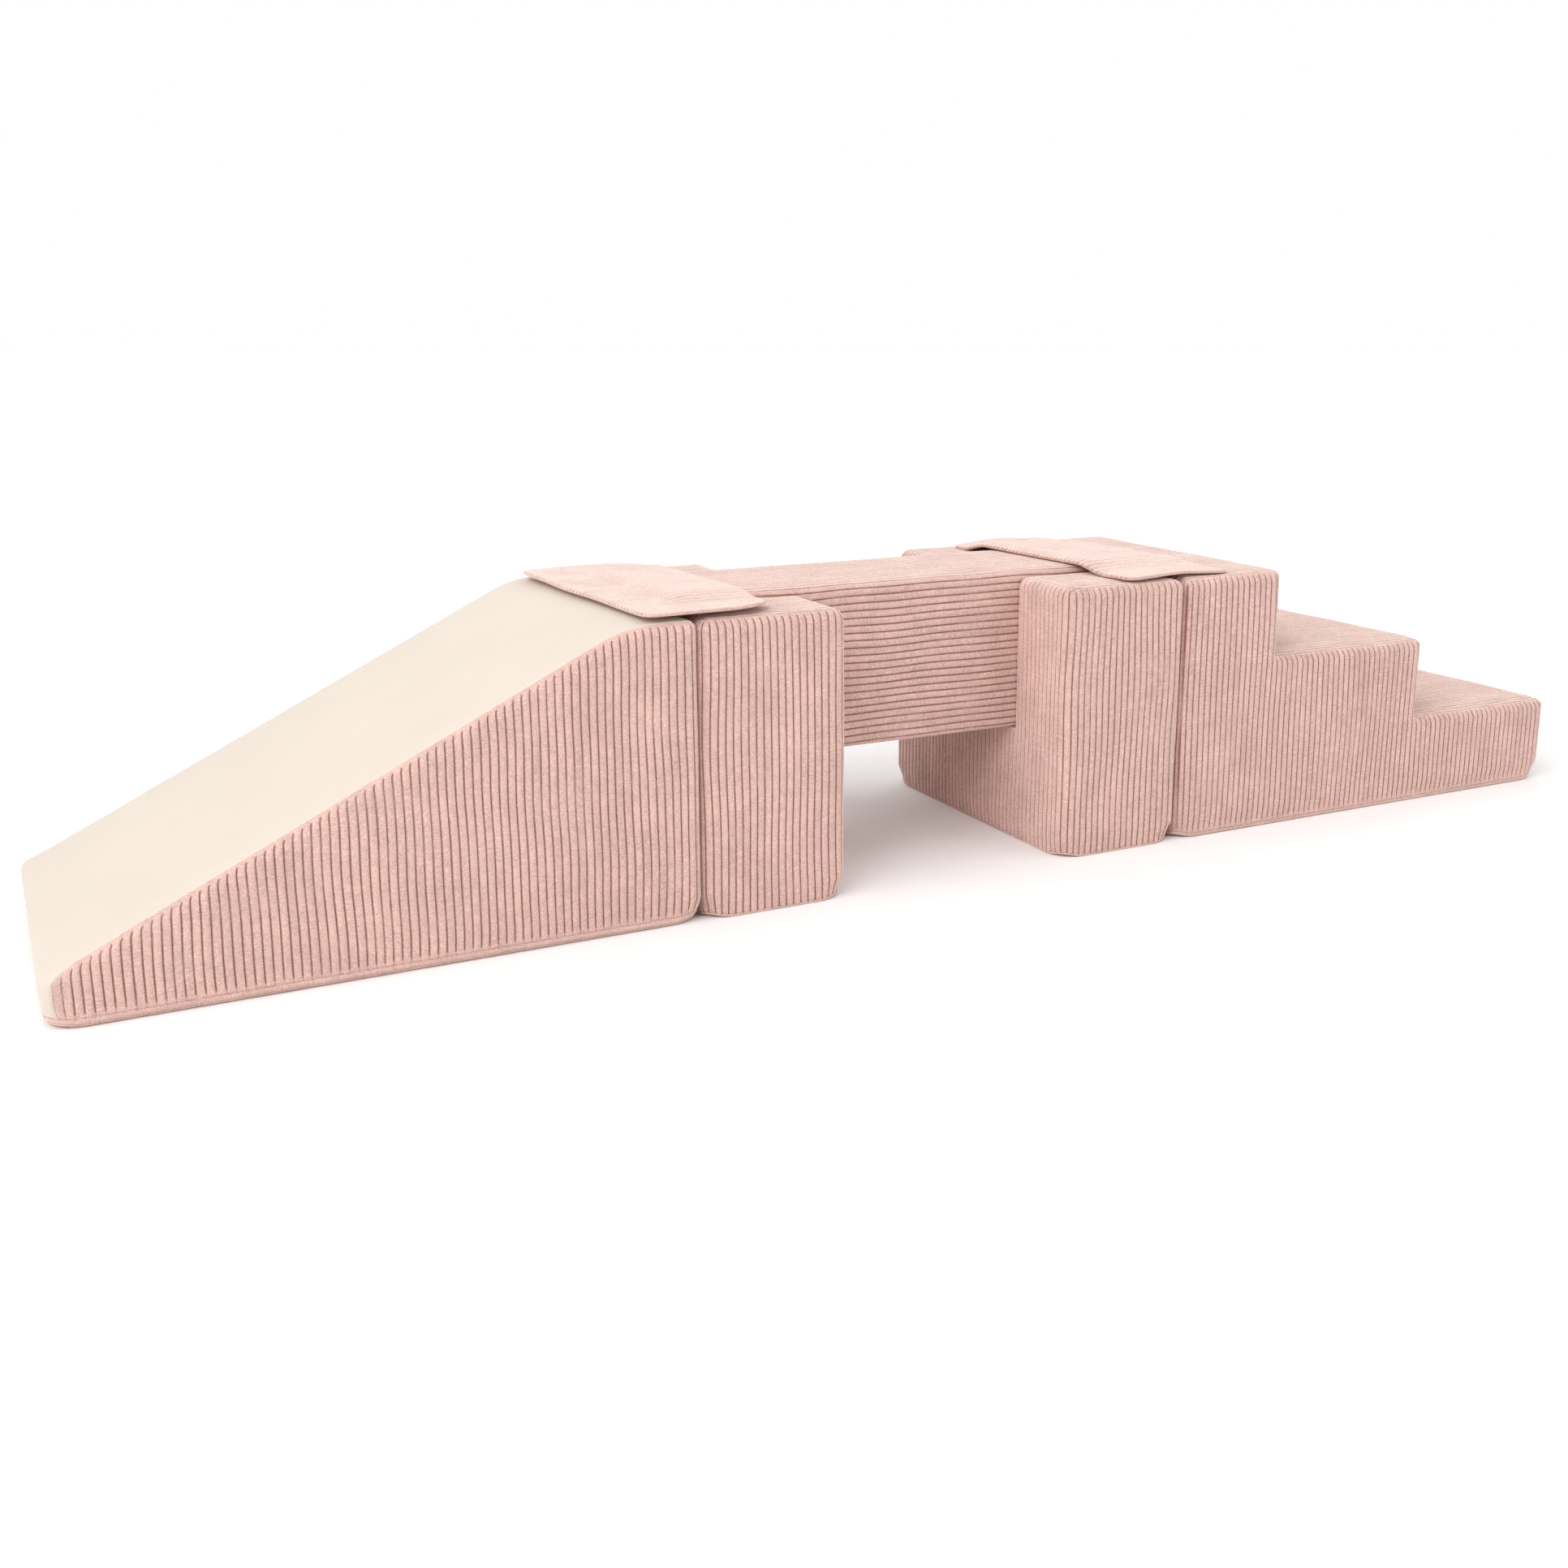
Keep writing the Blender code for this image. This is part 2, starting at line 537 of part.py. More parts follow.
def build_flap(prefix, seam, side, turn, curl, bridge):
    """A cloth flap held by two hook tapes. Its origin lies on the hinge line at its inner edge.
    side is +1 where the bridge lies towards +X of the seam, and -1 where it lies towards -X."""
    hinge = Vector((seam + side * FLAP_INNER_REACH, SET_Y + FLAP_OFFSET_Y, FLAP_HIGH))
    place = new_empty(prefix + "_hinge", hinge - bridge.location, bridge, turn)
    width = FLAP_INNER_REACH + FLAP_OUTER_REACH
    bm = bmesh.new()
    bmesh.ops.create_grid(bm, x_segments=FLAP_CELLS_ACROSS, y_segments=FLAP_CELLS_ALONG, size=1)
    for vert in bm.verts:
        reach = (vert.co.x + 1) / 2 * width - FLAP_OUTER_REACH
        y = vert.co.y * FLAP_LENGTH / 2
        if abs(vert.co.x) > 1 - MESH_GAP and abs(vert.co.y) > 1 - MESH_GAP:
            reach -= math.copysign(FLAP_CORNER_TRIM, vert.co.x)
            y -= math.copysign(FLAP_CORNER_TRIM, vert.co.y)
        height = flap_height(reach, y + FLAP_OFFSET_Y, curl)
        vert.co = (side * (reach - FLAP_INNER_REACH), y, height - FLAP_HIGH)
    bmesh.ops.recalc_face_normals(bm, faces=bm.faces)
    bm.faces.ensure_lookup_table()
    if bm.faces[0].normal.z < 0:
        bmesh.ops.reverse_faces(bm, faces=bm.faces)
    mesh = bpy.data.meshes.new(prefix)
    bm.to_mesh(mesh)
    bm.free()
    flap = new_object(prefix, mesh, place, look=CORDUROY)
    cloth = flap.modifiers.new("cloth", "SOLIDIFY")
    cloth.thickness = FLAP_THICKNESS
    cloth.offset = 1
    cloth.use_even_offset = True

    under = -MESH_GAP - HOOK_THICKNESS / 2
    inner_x = side * (INNER_TAPE_FROM_SEAM - FLAP_INNER_REACH)
    outer_x = side * (-OUTER_TAPE_FROM_SEAM - FLAP_INNER_REACH)
    drop = FLAP_LOW - FLAP_HIGH
    inner_size = (TAPE_WIDTH, BRIDGE_TAPE_LENGTH, HOOK_THICKNESS)
    outer_size = (TAPE_WIDTH, MODULE_TAPE_LENGTH, HOOK_THICKNESS)
    box(prefix + "_inner_hook_tape", inner_size, (inner_x, -FLAP_OFFSET_Y, under), place, TAPE)
    box(prefix + "_outer_hook_tape", outer_size, (outer_x, 0, under + drop), place, TAPE)


remove_everything()
CLIMBER = new_collection("soft_play_climber")
CUTTERS = new_collection("cutters")
build_slide()
build_block("left_block", LEFT_BLOCK_X)
build_block("right_block", RIGHT_BLOCK_X)
bridge_place = build_bridge()
build_stairs()
build_flap("left_flap", LEFT_SEAM_X, 1, LEFT_FLAP_TURN_DEGREES, CURL_HEIGHT, bridge_place)
build_flap("right_flap", RIGHT_SEAM_X, -1, RIGHT_FLAP_TURN_DEGREES, 0, bridge_place)
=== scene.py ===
"""Looks of the soft play climber: corduroy covers with modelled ribs, a smooth cream slide, two joining flaps,
coil zips and base panels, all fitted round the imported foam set. Metres, +Z up."""

import math

import bmesh
import bpy
import numpy as np
from mathutils import Matrix, Vector


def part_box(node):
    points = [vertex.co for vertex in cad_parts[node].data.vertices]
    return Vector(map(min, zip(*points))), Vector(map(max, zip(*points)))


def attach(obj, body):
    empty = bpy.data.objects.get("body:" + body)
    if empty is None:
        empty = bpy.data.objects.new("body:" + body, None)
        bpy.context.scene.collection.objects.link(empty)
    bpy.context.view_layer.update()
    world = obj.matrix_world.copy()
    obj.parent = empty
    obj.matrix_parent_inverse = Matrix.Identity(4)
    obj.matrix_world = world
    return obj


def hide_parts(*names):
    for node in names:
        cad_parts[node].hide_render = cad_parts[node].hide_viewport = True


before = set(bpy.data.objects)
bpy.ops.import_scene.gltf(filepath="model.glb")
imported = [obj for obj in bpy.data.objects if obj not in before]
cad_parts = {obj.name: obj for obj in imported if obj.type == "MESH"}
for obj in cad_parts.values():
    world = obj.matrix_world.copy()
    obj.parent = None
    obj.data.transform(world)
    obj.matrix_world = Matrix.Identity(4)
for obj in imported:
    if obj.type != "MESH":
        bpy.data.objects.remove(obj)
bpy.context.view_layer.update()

# The picture and its camera, fitted to the set's corners
IMAGE_SIZE = 1932
FOCAL_PIXELS = 2053.9
SHIFT_PIXELS = (57.7, -72.4)
CAMERA_PLACE = (-0.9489, -1.7316, 0.6103)
CAMERA_YAW_DEGREES = 27.27
CAMERA_PITCH_DEGREES = 13.52
SENSOR_WIDTH = 36.0

# Distances below which places are one, lie on a line or span no area
TINY = 1e-9
ON_LINE = 1e-7
NO_AREA = 1e-7
SAME_PLACE = 1e-6
CORE_GAP = 1e-6
SEWN_GAP = 2e-5

# Ribbed cloth
RIB_PITCH = 0.0085
RIB_HEIGHT = 0.0016
GROOVE_POWER = 14
RIB_ROUNDING = 0.10
RIB_COLUMNS = (0, 0.035, 0.075, 0.14, 0.28, 0.5, 0.72, 0.86, 0.925, 0.965)
ROW_STEP = 0.010
RIB_WANDER = 0.0011
RIB_WANDER_SCALE = 0.13
RIB_WANDER_FADE = 0.03
RIPPLE_HEIGHT = 3.2
SEAM_DIP = 0.0011
SEAM_WIDTH = 0.0013
RIB_START = 0.0002
RIB_END = 0.0060
SLIDE_RIB_ENDS = (0.0035, 0.0115)
BLOCK_RIB_ENDS = (0.0015, 0.0080)
# Painted shade at seams: the shade value of the smooth cloth beside a seam, the depth of a thin dark line painted
# along each seam's dip, and the share of that line that the ribs' backs lose
SEAM_SHADE = 0.8
SEAM_LINE = 0.5
SEAM_LINE_FADE = 0.7
PUCKER = 0.0007
PUCKER_SCALE = 0.022
PUCKER_REACH = 0.016
PUCKER_START = 0.004
SLACK = 0.0013
SLACK_SCALE = 0.16
NEAR_SEAM = (0.0005, 0.0011, 0.0019, 0.0032, 0.0052)

# The covers' form
SWELL = 0.002
FACING_INSET = 0.0006
SWELL_REACH = 0.022
EDGE_RADIUS = 0.0123
SEAM_TURN = 0.0094
LIP = (0.0024, 0.0048, 0.0066, 0.0079, 0.0088, 0.0094)
INNER_RADIUS = 0.003
ARC_STEPS = 12
TOE_RADIUS = 0.013
TOP_RADIUS = 0.009
NOSE_RADIUS = 0.0055
UPRIGHT_RADIUS = 0.0135
SLIDE_BASE_SEAM = 0.010
SUPPORT_BASE_SEAM = 0.0025
STAIRS_BASE_SEAM = 0.0055
LOW_BASE_SEAM = 0.004
TOE_WRAP = 0.0092
TOE_TWIST = 0.022
CORNER_REACH = 0.030
CORNER_PULL = 0.0042
CORNER_LIFT = 0.9
CORE_EASE = 0.0025

# Rows of the cloth's grids, as steps in from an edge
LOW_BAND = (0, *NEAR_SEAM, 0.0085)
TOP_BAND = (0, 0.0020, 0.0045, 0.0070, 0.0095, 0.0125, 0.0170)
ROUND_BAND = (0.0070, 0.0094, 0.0118, 0.0142, 0.0166, 0.0190, 0.0217, 0.0260)
SLOT_BAND = (0, *NEAR_SEAM, 0.0085, 0.0120, 0.0147, 0.0155, 0.0180, 0.0220, 0.0245, 0.0253, 0.0285)
SIDE_ROWS = 30
BAND_SPARE = 0.001
RAMP_STEP = 0.006
SLOT_MARGIN = 0.0008

# Short folds in the cloth: start, end, depth, width
CREASES = (
    ((0.150, -0.1955, 0.3175), (0.172, -0.1885, 0.3190), 0.0032, 0.0020),
    ((0.152, -0.1875, 0.3190), (0.168, -0.1800, 0.3195), 0.0020, 0.0019),
    ((-0.300, -0.1920, 0.3185), (-0.286, -0.1840, 0.3190), 0.0014, 0.0015),
    ((0.1450, -0.197, 0.016), (0.1450, -0.180, 0.034), 0.0014, 0.0016),
    ((0.9390, -0.190, 0.016), (0.9390, -0.170, 0.040), 0.0014, 0.0018),
)
CREASE_FADE = 0.6

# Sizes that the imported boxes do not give
PLATFORM_LENGTH = 0.075
TOE_HEIGHT = 0.047
RAMP_TOP_RADIUS = 0.130
TREAD_LENGTHS = (0.1456, 0.2447)
TREAD_HEIGHTS = (0.2146, 0.1117)
NOTCH_GAP = 0.0004

# Coil zips and the bound edges of their openings
ZIP_SLOT_WIDTH = 0.009
ZIP_END_GAP = 0.0003
ZIP_TAPE_THICKNESS = 0.0024
COIL_HALF = 0.0022
COIL_PITCH = 0.0017
COIL_STEPS, COIL_ROWS = 5, 13
COIL_SLANT = 0.35
COIL_RISE = (0.62, 0.3)
# COIL_SHADE: how far the coil's hollows run toward the tape's colour, partly the tape seen between turns and partly
# painted shade
COIL_SHADE = 0.3
COIL_JOIN_DEPTH, COIL_JOIN_WIDTH = 0.0004, 0.0003
BINDING_CORNER, BINDING_BEAD, BINDING_DEPTH = 0.0015, 0.0011, 0.0028
BINDING_STEPS, BEAD_STEPS, BEAD_TURN = 5, 12, (-60, 180)

# Base panels: steps of the roll, how far it turns under, its half waves and those of one whose seam is high, the
# depth between them, its pucker and its seed, its tuck behind the cover, out and up, the height below which it
# lies still, the rim's width underneath, and the step of the grid inside the rim
PANEL_STEPS = 24
PANEL_ROLL = 0.9
PANEL_WAVES, HIGH_PANEL_WAVES, HIGH_PANEL_SEAM = 1.0, 2.2, 0.008
PANEL_DIP, PANEL_PUCKER, PANEL_SEED = 0.75 * SEAM_DIP, 0.6 * PUCKER, 7
# The sole's shade value: a touch of painted shade underneath
SOLE_SHADE = 0.8
PANEL_TUCK = (0.004, 0.0015)
PANEL_STILL = 0.001
PANEL_INSET = 0.022
SOLE_STEP = 0.05

# Joining flaps
FLAP_LENGTH = 0.360
FLAP_STEP = 0.005
FLAP_THICKNESS = 0.004
FLAP_EDGE_RADIUS = 0.0019
FLAP_CORNER_RADIUS = 0.015
FLAP_CURL_LENGTH = 0.060
FLAP_RISE = (-0.020, 0.008)
FLAP_SHOULDER = 0.050
FLAP_END = (0.005, 0.055)
FLAP_FREE = 0.02
FLAP_MIDDLE_DROOP = 0.2
FLAP_DROOP_SLOPE = 0.35
FLAP_STILL = 0.35
FLAP_TAPE_GAP = 0.0003
FLAP_TAPE_MARGIN = 0.003
FLAP_BEAM_GAP = 0.0006
FLAP_WAVE = 0.0015
FLAP_WOBBLE = 0.0016
FLAP_WAVE_SCALE = 0.14
FLAP_WORN_SCALE = 0.06
FLAP_RIB_ENDS = (0.0015, 0.0060)
FLAP_GROOVE, FLAP_END_GROOVE, FLAP_LEAST_WORN = 0.45, 0.5, 0.4
# Painted shade: how dark a flap's grooves are painted away from their open ends, and the shade value of its lining
# underneath
FLAP_GROOVE_SHADE, LINING_SHADE = 0.2, 0.8

# Each flap: its reaches out and in from the gap, its shifts along and across the gap, its turn, the droop of its
# ends, the curl of a corner, and the radius of its inner corners
LEFT_FLAP = {
    "outer": 0.067, "inner": 0.083, "offset": -0.006, "shift": 0.0, "turn_degrees": 3.0, "end_droop": 0.0002,
    "curl": 0.0028, "inner_radius": 0.034,
}
RIGHT_FLAP = {
    "outer": 0.062, "inner": 0.095, "offset": -0.012, "shift": 0.003, "turn_degrees": 3.5, "end_droop": 0.0049,
    "curl": 0.0, "inner_radius": FLAP_CORNER_RADIUS,
}

# Light: name, the way it comes from, softness in degrees, strength
SURROUND = 0.14
FLOOR_COLOUR = (0.95, 0.95, 0.95, 1)
LAMPS = (
    ("top_light", (0.0, -0.1, 1.0), 100, 1.12),
    ("left_light", (-1.0, -0.3, 0.7), 60, 1.93),
    ("right_light", (0.9, -0.8, 0.6), 60, 0.95),
    ("back_light", (0.3, 1.0, 0.8), 80, 0.92),
)
NEAR_LAMP_PLACE, NEAR_LAMP_AIM = (-1.3, -1.5, 1.6), (-0.5, 0.0, 0.2)
NEAR_LAMP_SIZE, NEAR_LAMP_POWER = 1.0, 7.5
FLOOR_REACH = 40.0
STAGE_STEPS, DOME_STEPS, DOME_LOW_DEGREES = 96, 23, -2


def smooth_step(value, first, last):
    """0 before first, 1 after last, and 3t^2 - 2t^3 between them."""
    t = np.clip((value - first) / (last - first), 0, 1)
    return t * t * (3 - 2 * t)


def ripple(place, scale, seed):
    """Smooth noise, about -1 to 1: the sum of seven sine waves of about that length in seeded directions."""
    numbers = np.random.default_rng(seed)
    ways = numbers.normal(size=(7, 3))
    ways *= 2 * math.pi / scale * numbers.uniform(0.6, 1.4, (7, 1)) / np.linalg.norm(ways, axis=1, keepdims=True)
    phases = numbers.uniform(0, 2 * math.pi, 7)
    return np.sin(place @ ways.T + phases).sum(-1) / RIPPLE_HEIGHT


def merge(*rows):
    """Sorted places without near repeats."""
    places = np.sort(np.concatenate([np.atleast_1d(np.asarray(row, float)) for row in rows]))
    keep = np.concatenate([[True], np.diff(places) > SAME_PLACE])
    return places[keep]


def even(low, high, step=ROW_STEP):
    """Evenly spaced places from low to high, no further apart than a step."""
    return np.linspace(low, high, max(int(math.ceil((high - low) / step)), 1) + 1)


def beside(low, high, band):
    """Places at a band's steps in from a low and a high edge."""
    return [edge + way * step for edge, way in ((low, 1), (high, -1)) for step in band]


def rib_places(low, high):
    """Grid places across whole ribs between two edges, closer together at each groove."""
    count = max(round((high - low) / RIB_PITCH), 1)
    turn = np.append((np.arange(count)[:, None] + RIB_COLUMNS).ravel(), count)
    return low + turn / count * (high - low)


def within(places, low, high):
    """Those of some places that lie from low to high."""
    return places[(places >= low - TINY) & (places <= high + TINY)]


def thin_near(places, stops=None, low=None, high=None):
    """Row places from low to high, with a few more close to each stop, where a seam dips. Low and high are the
    first and last place, and the stops are low and high, where they are not given."""
    low = places[0] if low is None else low
    high = places[-1] if high is None else high
    stops = (low, high) if stops is None else stops
    near = [stop + side * offset for stop in stops for offset in NEAR_SEAM for side in (-1, 1)]
    return within(merge(places, near, stops, low, high), low, high)


def closest(place, start, step):
    """The share of a straight step from a start at which it passes closest to places, and their distance there."""
    share = np.clip(((place - start) @ step) / max(step @ step, TINY**2), 0, 1)
    return share, np.linalg.norm(place - start - share[..., None] * step, axis=-1)


class Line:
    """A line of points in a plane, with the ways out at its points. It can be sampled by its length."""

    def __init__(self, points, normals):
        self.points, self.normals = np.array(points), np.array(normals)
        self.lengths = np.concatenate([[0], np.cumsum(np.linalg.norm(np.diff(self.points, axis=0), axis=1))])
        self.length = self.lengths[-1]

    def at(self, s):
        """Points and outward normals at lengths s along the line."""
        point = np.stack([np.interp(s, self.lengths, self.points[:, k]) for k in (0, 1)], axis=-1)
        normal = np.stack([np.interp(s, self.lengths, self.normals[:, k]) for k in (0, 1)], axis=-1)
        return point, normal / np.linalg.norm(normal, axis=-1, keepdims=True)

    def rows(self, step=ROW_STEP):
        """Lengths at which to sample it: all its points, and steps along its longer runs."""
        return merge(*[even(a, b, step) for a, b in zip(self.lengths[:-1], self.lengths[1:])])

    def nearest(self, place):
        """Distance from points of the plane to the line, and the outward normal at their closest place."""
        flat = place.reshape(-1, 2)
        best = np.full(len(flat), np.inf)
        normal = np.zeros_like(flat)
        for k, step in enumerate(np.diff(self.points, axis=0)):
            share, gap = closest(flat, self.points[k], step)
            closer = gap < best - TINY
            best[closer] = gap[closer]
            mixed = self.normals[k] + share[closer, None] * (self.normals[k + 1] - self.normals[k])
            normal[closer] = mixed / np.linalg.norm(mixed, axis=1, keepdims=True)
        return best.reshape(place.shape[:-1]), normal.reshape(place.shape)

    def length_at(self, *point):
        """The length along the line at which it passes closest to a point."""
        found = [closest(np.array(point), *run) for run in zip(self.points[:-1], np.diff(self.points, axis=0))]
        k = int(np.argmin([gap for _, gap in found]))
        return self.lengths[k] + found[k][0] * (self.lengths[k + 1] - self.lengths[k])


class Outline(Line):
    """An open outline with filleted corners. Its outside lies to the left of its way."""

    def __init__(self, corners, radii):
        corners = np.asarray(corners, float)
        ways = np.diff(corners, axis=0)
        ways /= np.linalg.norm(ways, axis=1, keepdims=True)
        left = np.stack([-ways[:, 1], ways[:, 0]], axis=1)
        points, normals, middles = [corners[0]], [left[0]], []
        for index, radius in enumerate(radii):
            way, after = ways[index], ways[index + 1]
            turn = math.atan2(way[0] * after[1] - way[1] * after[0], way @ after)
            start = corners[index + 1] - way * radius * math.tan(abs(turn) / 2)
            side = math.copysign(1, turn)
            centre = start + left[index] * radius * side
            angle = np.linspace(0, turn, ARC_STEPS + 1)[:, None]
            across = left[index] * np.cos(angle) - way * np.sin(angle)
            points.extend(centre - across * radius * side)
            normals.extend(across)
            middles.append(len(points) - 1 - ARC_STEPS // 2)
        super().__init__([*points, corners[-1]], [*normals, left[-1]])
        self.middles = self.lengths[middles]


def rectangle(low_a, low_b, high_a, high_b):
    """A closed rectangle as a line of points."""
    return [(low_a, low_b), (high_a, low_b), (high_a, high_b), (low_a, high_b), (low_a, low_b)]


def round_rectangle(low, high, radius, steps):
    """The closed outline of a rectangle with round corners."""
    path, outward = [], []
    near, far = np.array(low) + radius, np.array(high) - radius
    for index, centre in enumerate(((far[0], near[1]), far, (near[0], far[1]), near)):
        angle = np.radians(np.linspace(-90, 0, steps + 1) + 90 * index)
        way = np.stack([np.cos(angle), np.sin(angle)], axis=1)
        path.append(centre + way * radius)
        outward.append(way)
    return Line(np.concatenate(path + [path[0][:1]]), np.concatenate(outward + [outward[0][:1]]))


def corners_of(low, high):
    """The four corners of a rectangle, each with its way inward."""
    sides_a, sides_b = (((low[k], 1), (high[k], -1)) for k in (0, 1))
    return [((a, b), (way_a, way_b)) for a, way_a in sides_a for b, way_b in sides_b]


def line_distance(place, lines):
    """Distance from points of a plane to the closest of some open lines of points."""
    best = np.full(place.shape[:-1], np.inf)
    for line in lines:
        line = np.asarray(line, float)
        for start, end in zip(line[:-1], line[1:]):
            best = np.minimum(best, closest(place, start, end - start)[1])
    return best


class Block:
    """A block with a filleted outline as its section, drawn out along a third axis, all its edges one radius.
    axes names the world axes of the outline's two directions and of the length, such as xzy."""

    def __init__(self, outline, low, high, axes, radius=EDGE_RADIUS):
        self.outline, self.low, self.high, self.radius = outline, low, high, radius
        self.order = ["xyz".index(axis) for axis in axes]

    def _world(self, plane, along):
        out = np.empty(plane.shape[:-1] + (3,))
        out[..., self.order[:2]] = plane
        out[..., self.order[2]] = along
        return out

    def _ball(self, centre, outward, out, over):
        """Places and normals on balls round centres, on the side that leans out and over."""
        reach = np.hypot(out, over)
        normal = self._world(outward * (out / reach)[..., None], over / reach)
        return centre + self.radius * normal, normal

    def wall(self, s, c):
        """Places and normals round the block. Near an end the surface is the ball of one radius that rolls inside
        the edge: its normal leans over by how far c is past the ball's middle, also beyond the edge itself."""
        point, outward = self.outline.at(s)
        r = self.radius
        past = np.maximum(c - (self.high - r), 0) - np.maximum(self.low + r - c, 0)
        over = np.clip(past, -r, r)
        out = np.where(np.abs(past) > r, np.maximum(2 * r - np.abs(past), 0), r)
        centre = self._world(point - outward * r, np.clip(c, self.low + r, self.high - r))
        return self._ball(centre, outward, out, over)

    def cap(self, plane, high_end, beyond=0.0):
        """Places and normals of an end face at points of the outline's plane, by the same rolling ball. A point
        on the outline itself may lie beyond it, down the edge's other side."""
        depth, outward = self.outline.nearest(plane)
        r = self.radius
        out = np.where(beyond > 0, r, np.maximum(r - depth, 0))
        sign, end = (1, self.high - r) if high_end else (-1, self.low + r)
        centre = self._world(plane - outward * out[..., None], end)
        return self._ball(centre, outward, out, sign * (r - beyond))


class Patch:
    """A grid of cloth: places, cloth coordinates in metres, how high the rib stands (0 to 1) as a shade value from
    which the corduroy paints shade in grooves, seams and hollows, and its cells.
    """

    def __init__(self, place, normal, cloth, rib):
        self.place, self.normal, self.cloth, self.rib = place, normal, cloth, rib
        self.cells = np.ones((place.shape[0] - 1, place.shape[1] - 1), bool)

    def faces(self):
        """The corners of its cells, in the order that faces them along the normals."""
        rows, columns = self.place.shape[:2]
        index = np.arange(rows * columns).reshape(rows, columns)
        quads = np.stack([index[:-1, :-1], index[:-1, 1:], index[1:, 1:], index[1:, :-1]], axis=-1)[self.cells]
        corner = self.place.reshape(-1, 3)[quads]
        cross = np.cross(corner[:, 2] - corner[:, 0], corner[:, 3] - corner[:, 1])
        outward = (cross * self.normal.reshape(-1, 3)[quads[:, 0]]).sum() > 0
        return quads if outward else quads[:, ::-1]


def facing(place, axis, sign=1):
    """Normals at places, all along a world axis."""
    normal = np.zeros_like(place)
    normal[..., axis] = sign
    return normal


def flat_patch(rows_a, rows_b, fixed, axis, sign, shade=0.0):
    """A plane patch square to a world axis, over places along the other two."""
    plane = np.stack(np.meshgrid(rows_a, rows_b, indexing="ij"), axis=-1)
    place = np.insert(plane, axis, fixed, axis=-1)
    return Patch(place, facing(place, axis, sign), plane, np.full(plane.shape[:2], shade))


def rib_profile(across, pitch):
    """How high a rib stands, 0 in its groove and 1 on its back: one less a high even power of the cosine, which
    gives a broad back and a narrow groove, with a little of one less its square, which rounds the back."""
    wave = np.abs(np.cos(math.pi * across / pitch))
    return (1 - RIB_ROUNDING) * (1 - wave**GROOVE_POWER) + RIB_ROUNDING * (1 - wave**2)


def creased(place):
    """Depth of the short folds at points: a Gaussian of the distance from each fold's line."""
    depth = np.zeros(place.shape[:-1])
    for start, end, deep, wide in CREASES:
        share, gap = closest(place, np.array(start), np.subtract(end, start))
        depth += deep * np.exp(-((gap / wide) ** 2)) * (1 - CREASE_FADE * share)
    return depth


def rising(seam, rib_ends):
    """A seam distance stretched so that ribs rise between two distances from the seam instead."""
    return np.maximum(seam - rib_ends[0], 0) * RIB_END / (rib_ends[1] - rib_ends[0])


def middles(grid):
    """The middle of each cell of a grid."""
    return (grid[:-1, :-1] + grid[1:, :-1] + grid[:-1, 1:] + grid[1:, 1:]) / 4


def dress(surface, plane, over_ribs, seam, height, base=None, holes=(), slot=None, rib_ends=BLOCK_RIB_ENDS,
          pitch=None, crown=1.0, ribbed=True, seed=1):
    """Lay cloth on a bare surface, given as places and normals over a grid of the plane. It swells between its
    seams, dips into them, puckers beside them, hangs a little slack and, if ribbed, carries ribs that wander
    sideways and rise between two distances from the outer seam. over_ribs says how far a point lies across the
    ribs, how far along them, and how wide the cloth is. height is measured from the floor, for the floor seam
    at base, and holes and the zip's slot are left out."""
    (place, normal), (across, along, width) = surface, over_ribs
    ends = rising(seam, rib_ends)
    if base is not None:
        base_gap = np.abs(height - base)
        seam = np.minimum(seam, base_gap)
        ends = np.minimum(ends, base_gap) if base > LOW_BASE_SEAM else ends
    swell = smooth_step(seam, 0, SWELL_REACH) * crown
    window = smooth_step(np.minimum(across, width - across), 0, RIB_WANDER_FADE) if pitch is None else 1.0
    pitch = width / max(round(width / RIB_PITCH), 1) if pitch is None else pitch
    wander = RIB_WANDER * ripple(place, RIB_WANDER_SCALE, seed + 10) * window
    fade = smooth_step(ends, RIB_START, RIB_END)
    if slot:
        fade = fade * smooth_step(line_distance(plane, [rectangle(*slot)]), 0.0, RIB_END)
        holes = (*holes, slot)
    rib = rib_profile(across + wander, pitch) if ribbed else np.ones(across.shape)
    lift = SWELL * swell - SEAM_DIP * np.exp(-((seam / SEAM_WIDTH) ** 2)) - creased(place)
    gather = 0.5 + 0.5 * ripple(place, PUCKER_SCALE, seed)
    lift -= PUCKER * gather * np.exp(-seam / PUCKER_REACH) * smooth_step(seam, 0, PUCKER_START)
    lift -= SLACK * (0.5 + 0.5 * ripple(place, SLACK_SCALE, seed + 20)) * swell
    lift -= RIB_HEIGHT * (1 - rib) * fade
    # The shade value: the rib's height, with painted shade where the ribs fade out beside a seam and a thin painted
    # dark line along each seam's dip
    shade = rib * fade + (1 - fade) * (SEAM_SHADE if ribbed else 1.0)
    shade -= SEAM_LINE * np.exp(-((seam / SEAM_WIDTH) ** 2)) * (1 - SEAM_LINE_FADE * rib)
    cloth = np.stack([across + wander, along], axis=-1)
    patch = Patch(place + normal * lift[..., None], normal, cloth, shade)
    middle_a, middle_b = np.moveaxis(middles(plane), -1, 0)
    for low_a, low_b, high_a, high_b in holes:
        inside = (middle_a > low_a) & (middle_a < high_a) & (middle_b > low_b) & (middle_b < high_b)
        patch.cells &= ~inside
    return patch


def drawn_in(place, footprint):
    """Draw places near a footprint's corners inward and up, by the square of one less the squared share of the
    reach."""
    for corner, way in corners_of(*footprint) if footprint else ():
        near = np.linalg.norm(place - (*corner, 0), axis=1) / CORNER_REACH
        place = place + (np.clip(1 - near**2, 0, 1) ** 2 * CORNER_PULL)[:, None] * (*way, CORNER_LIFT)
    return place


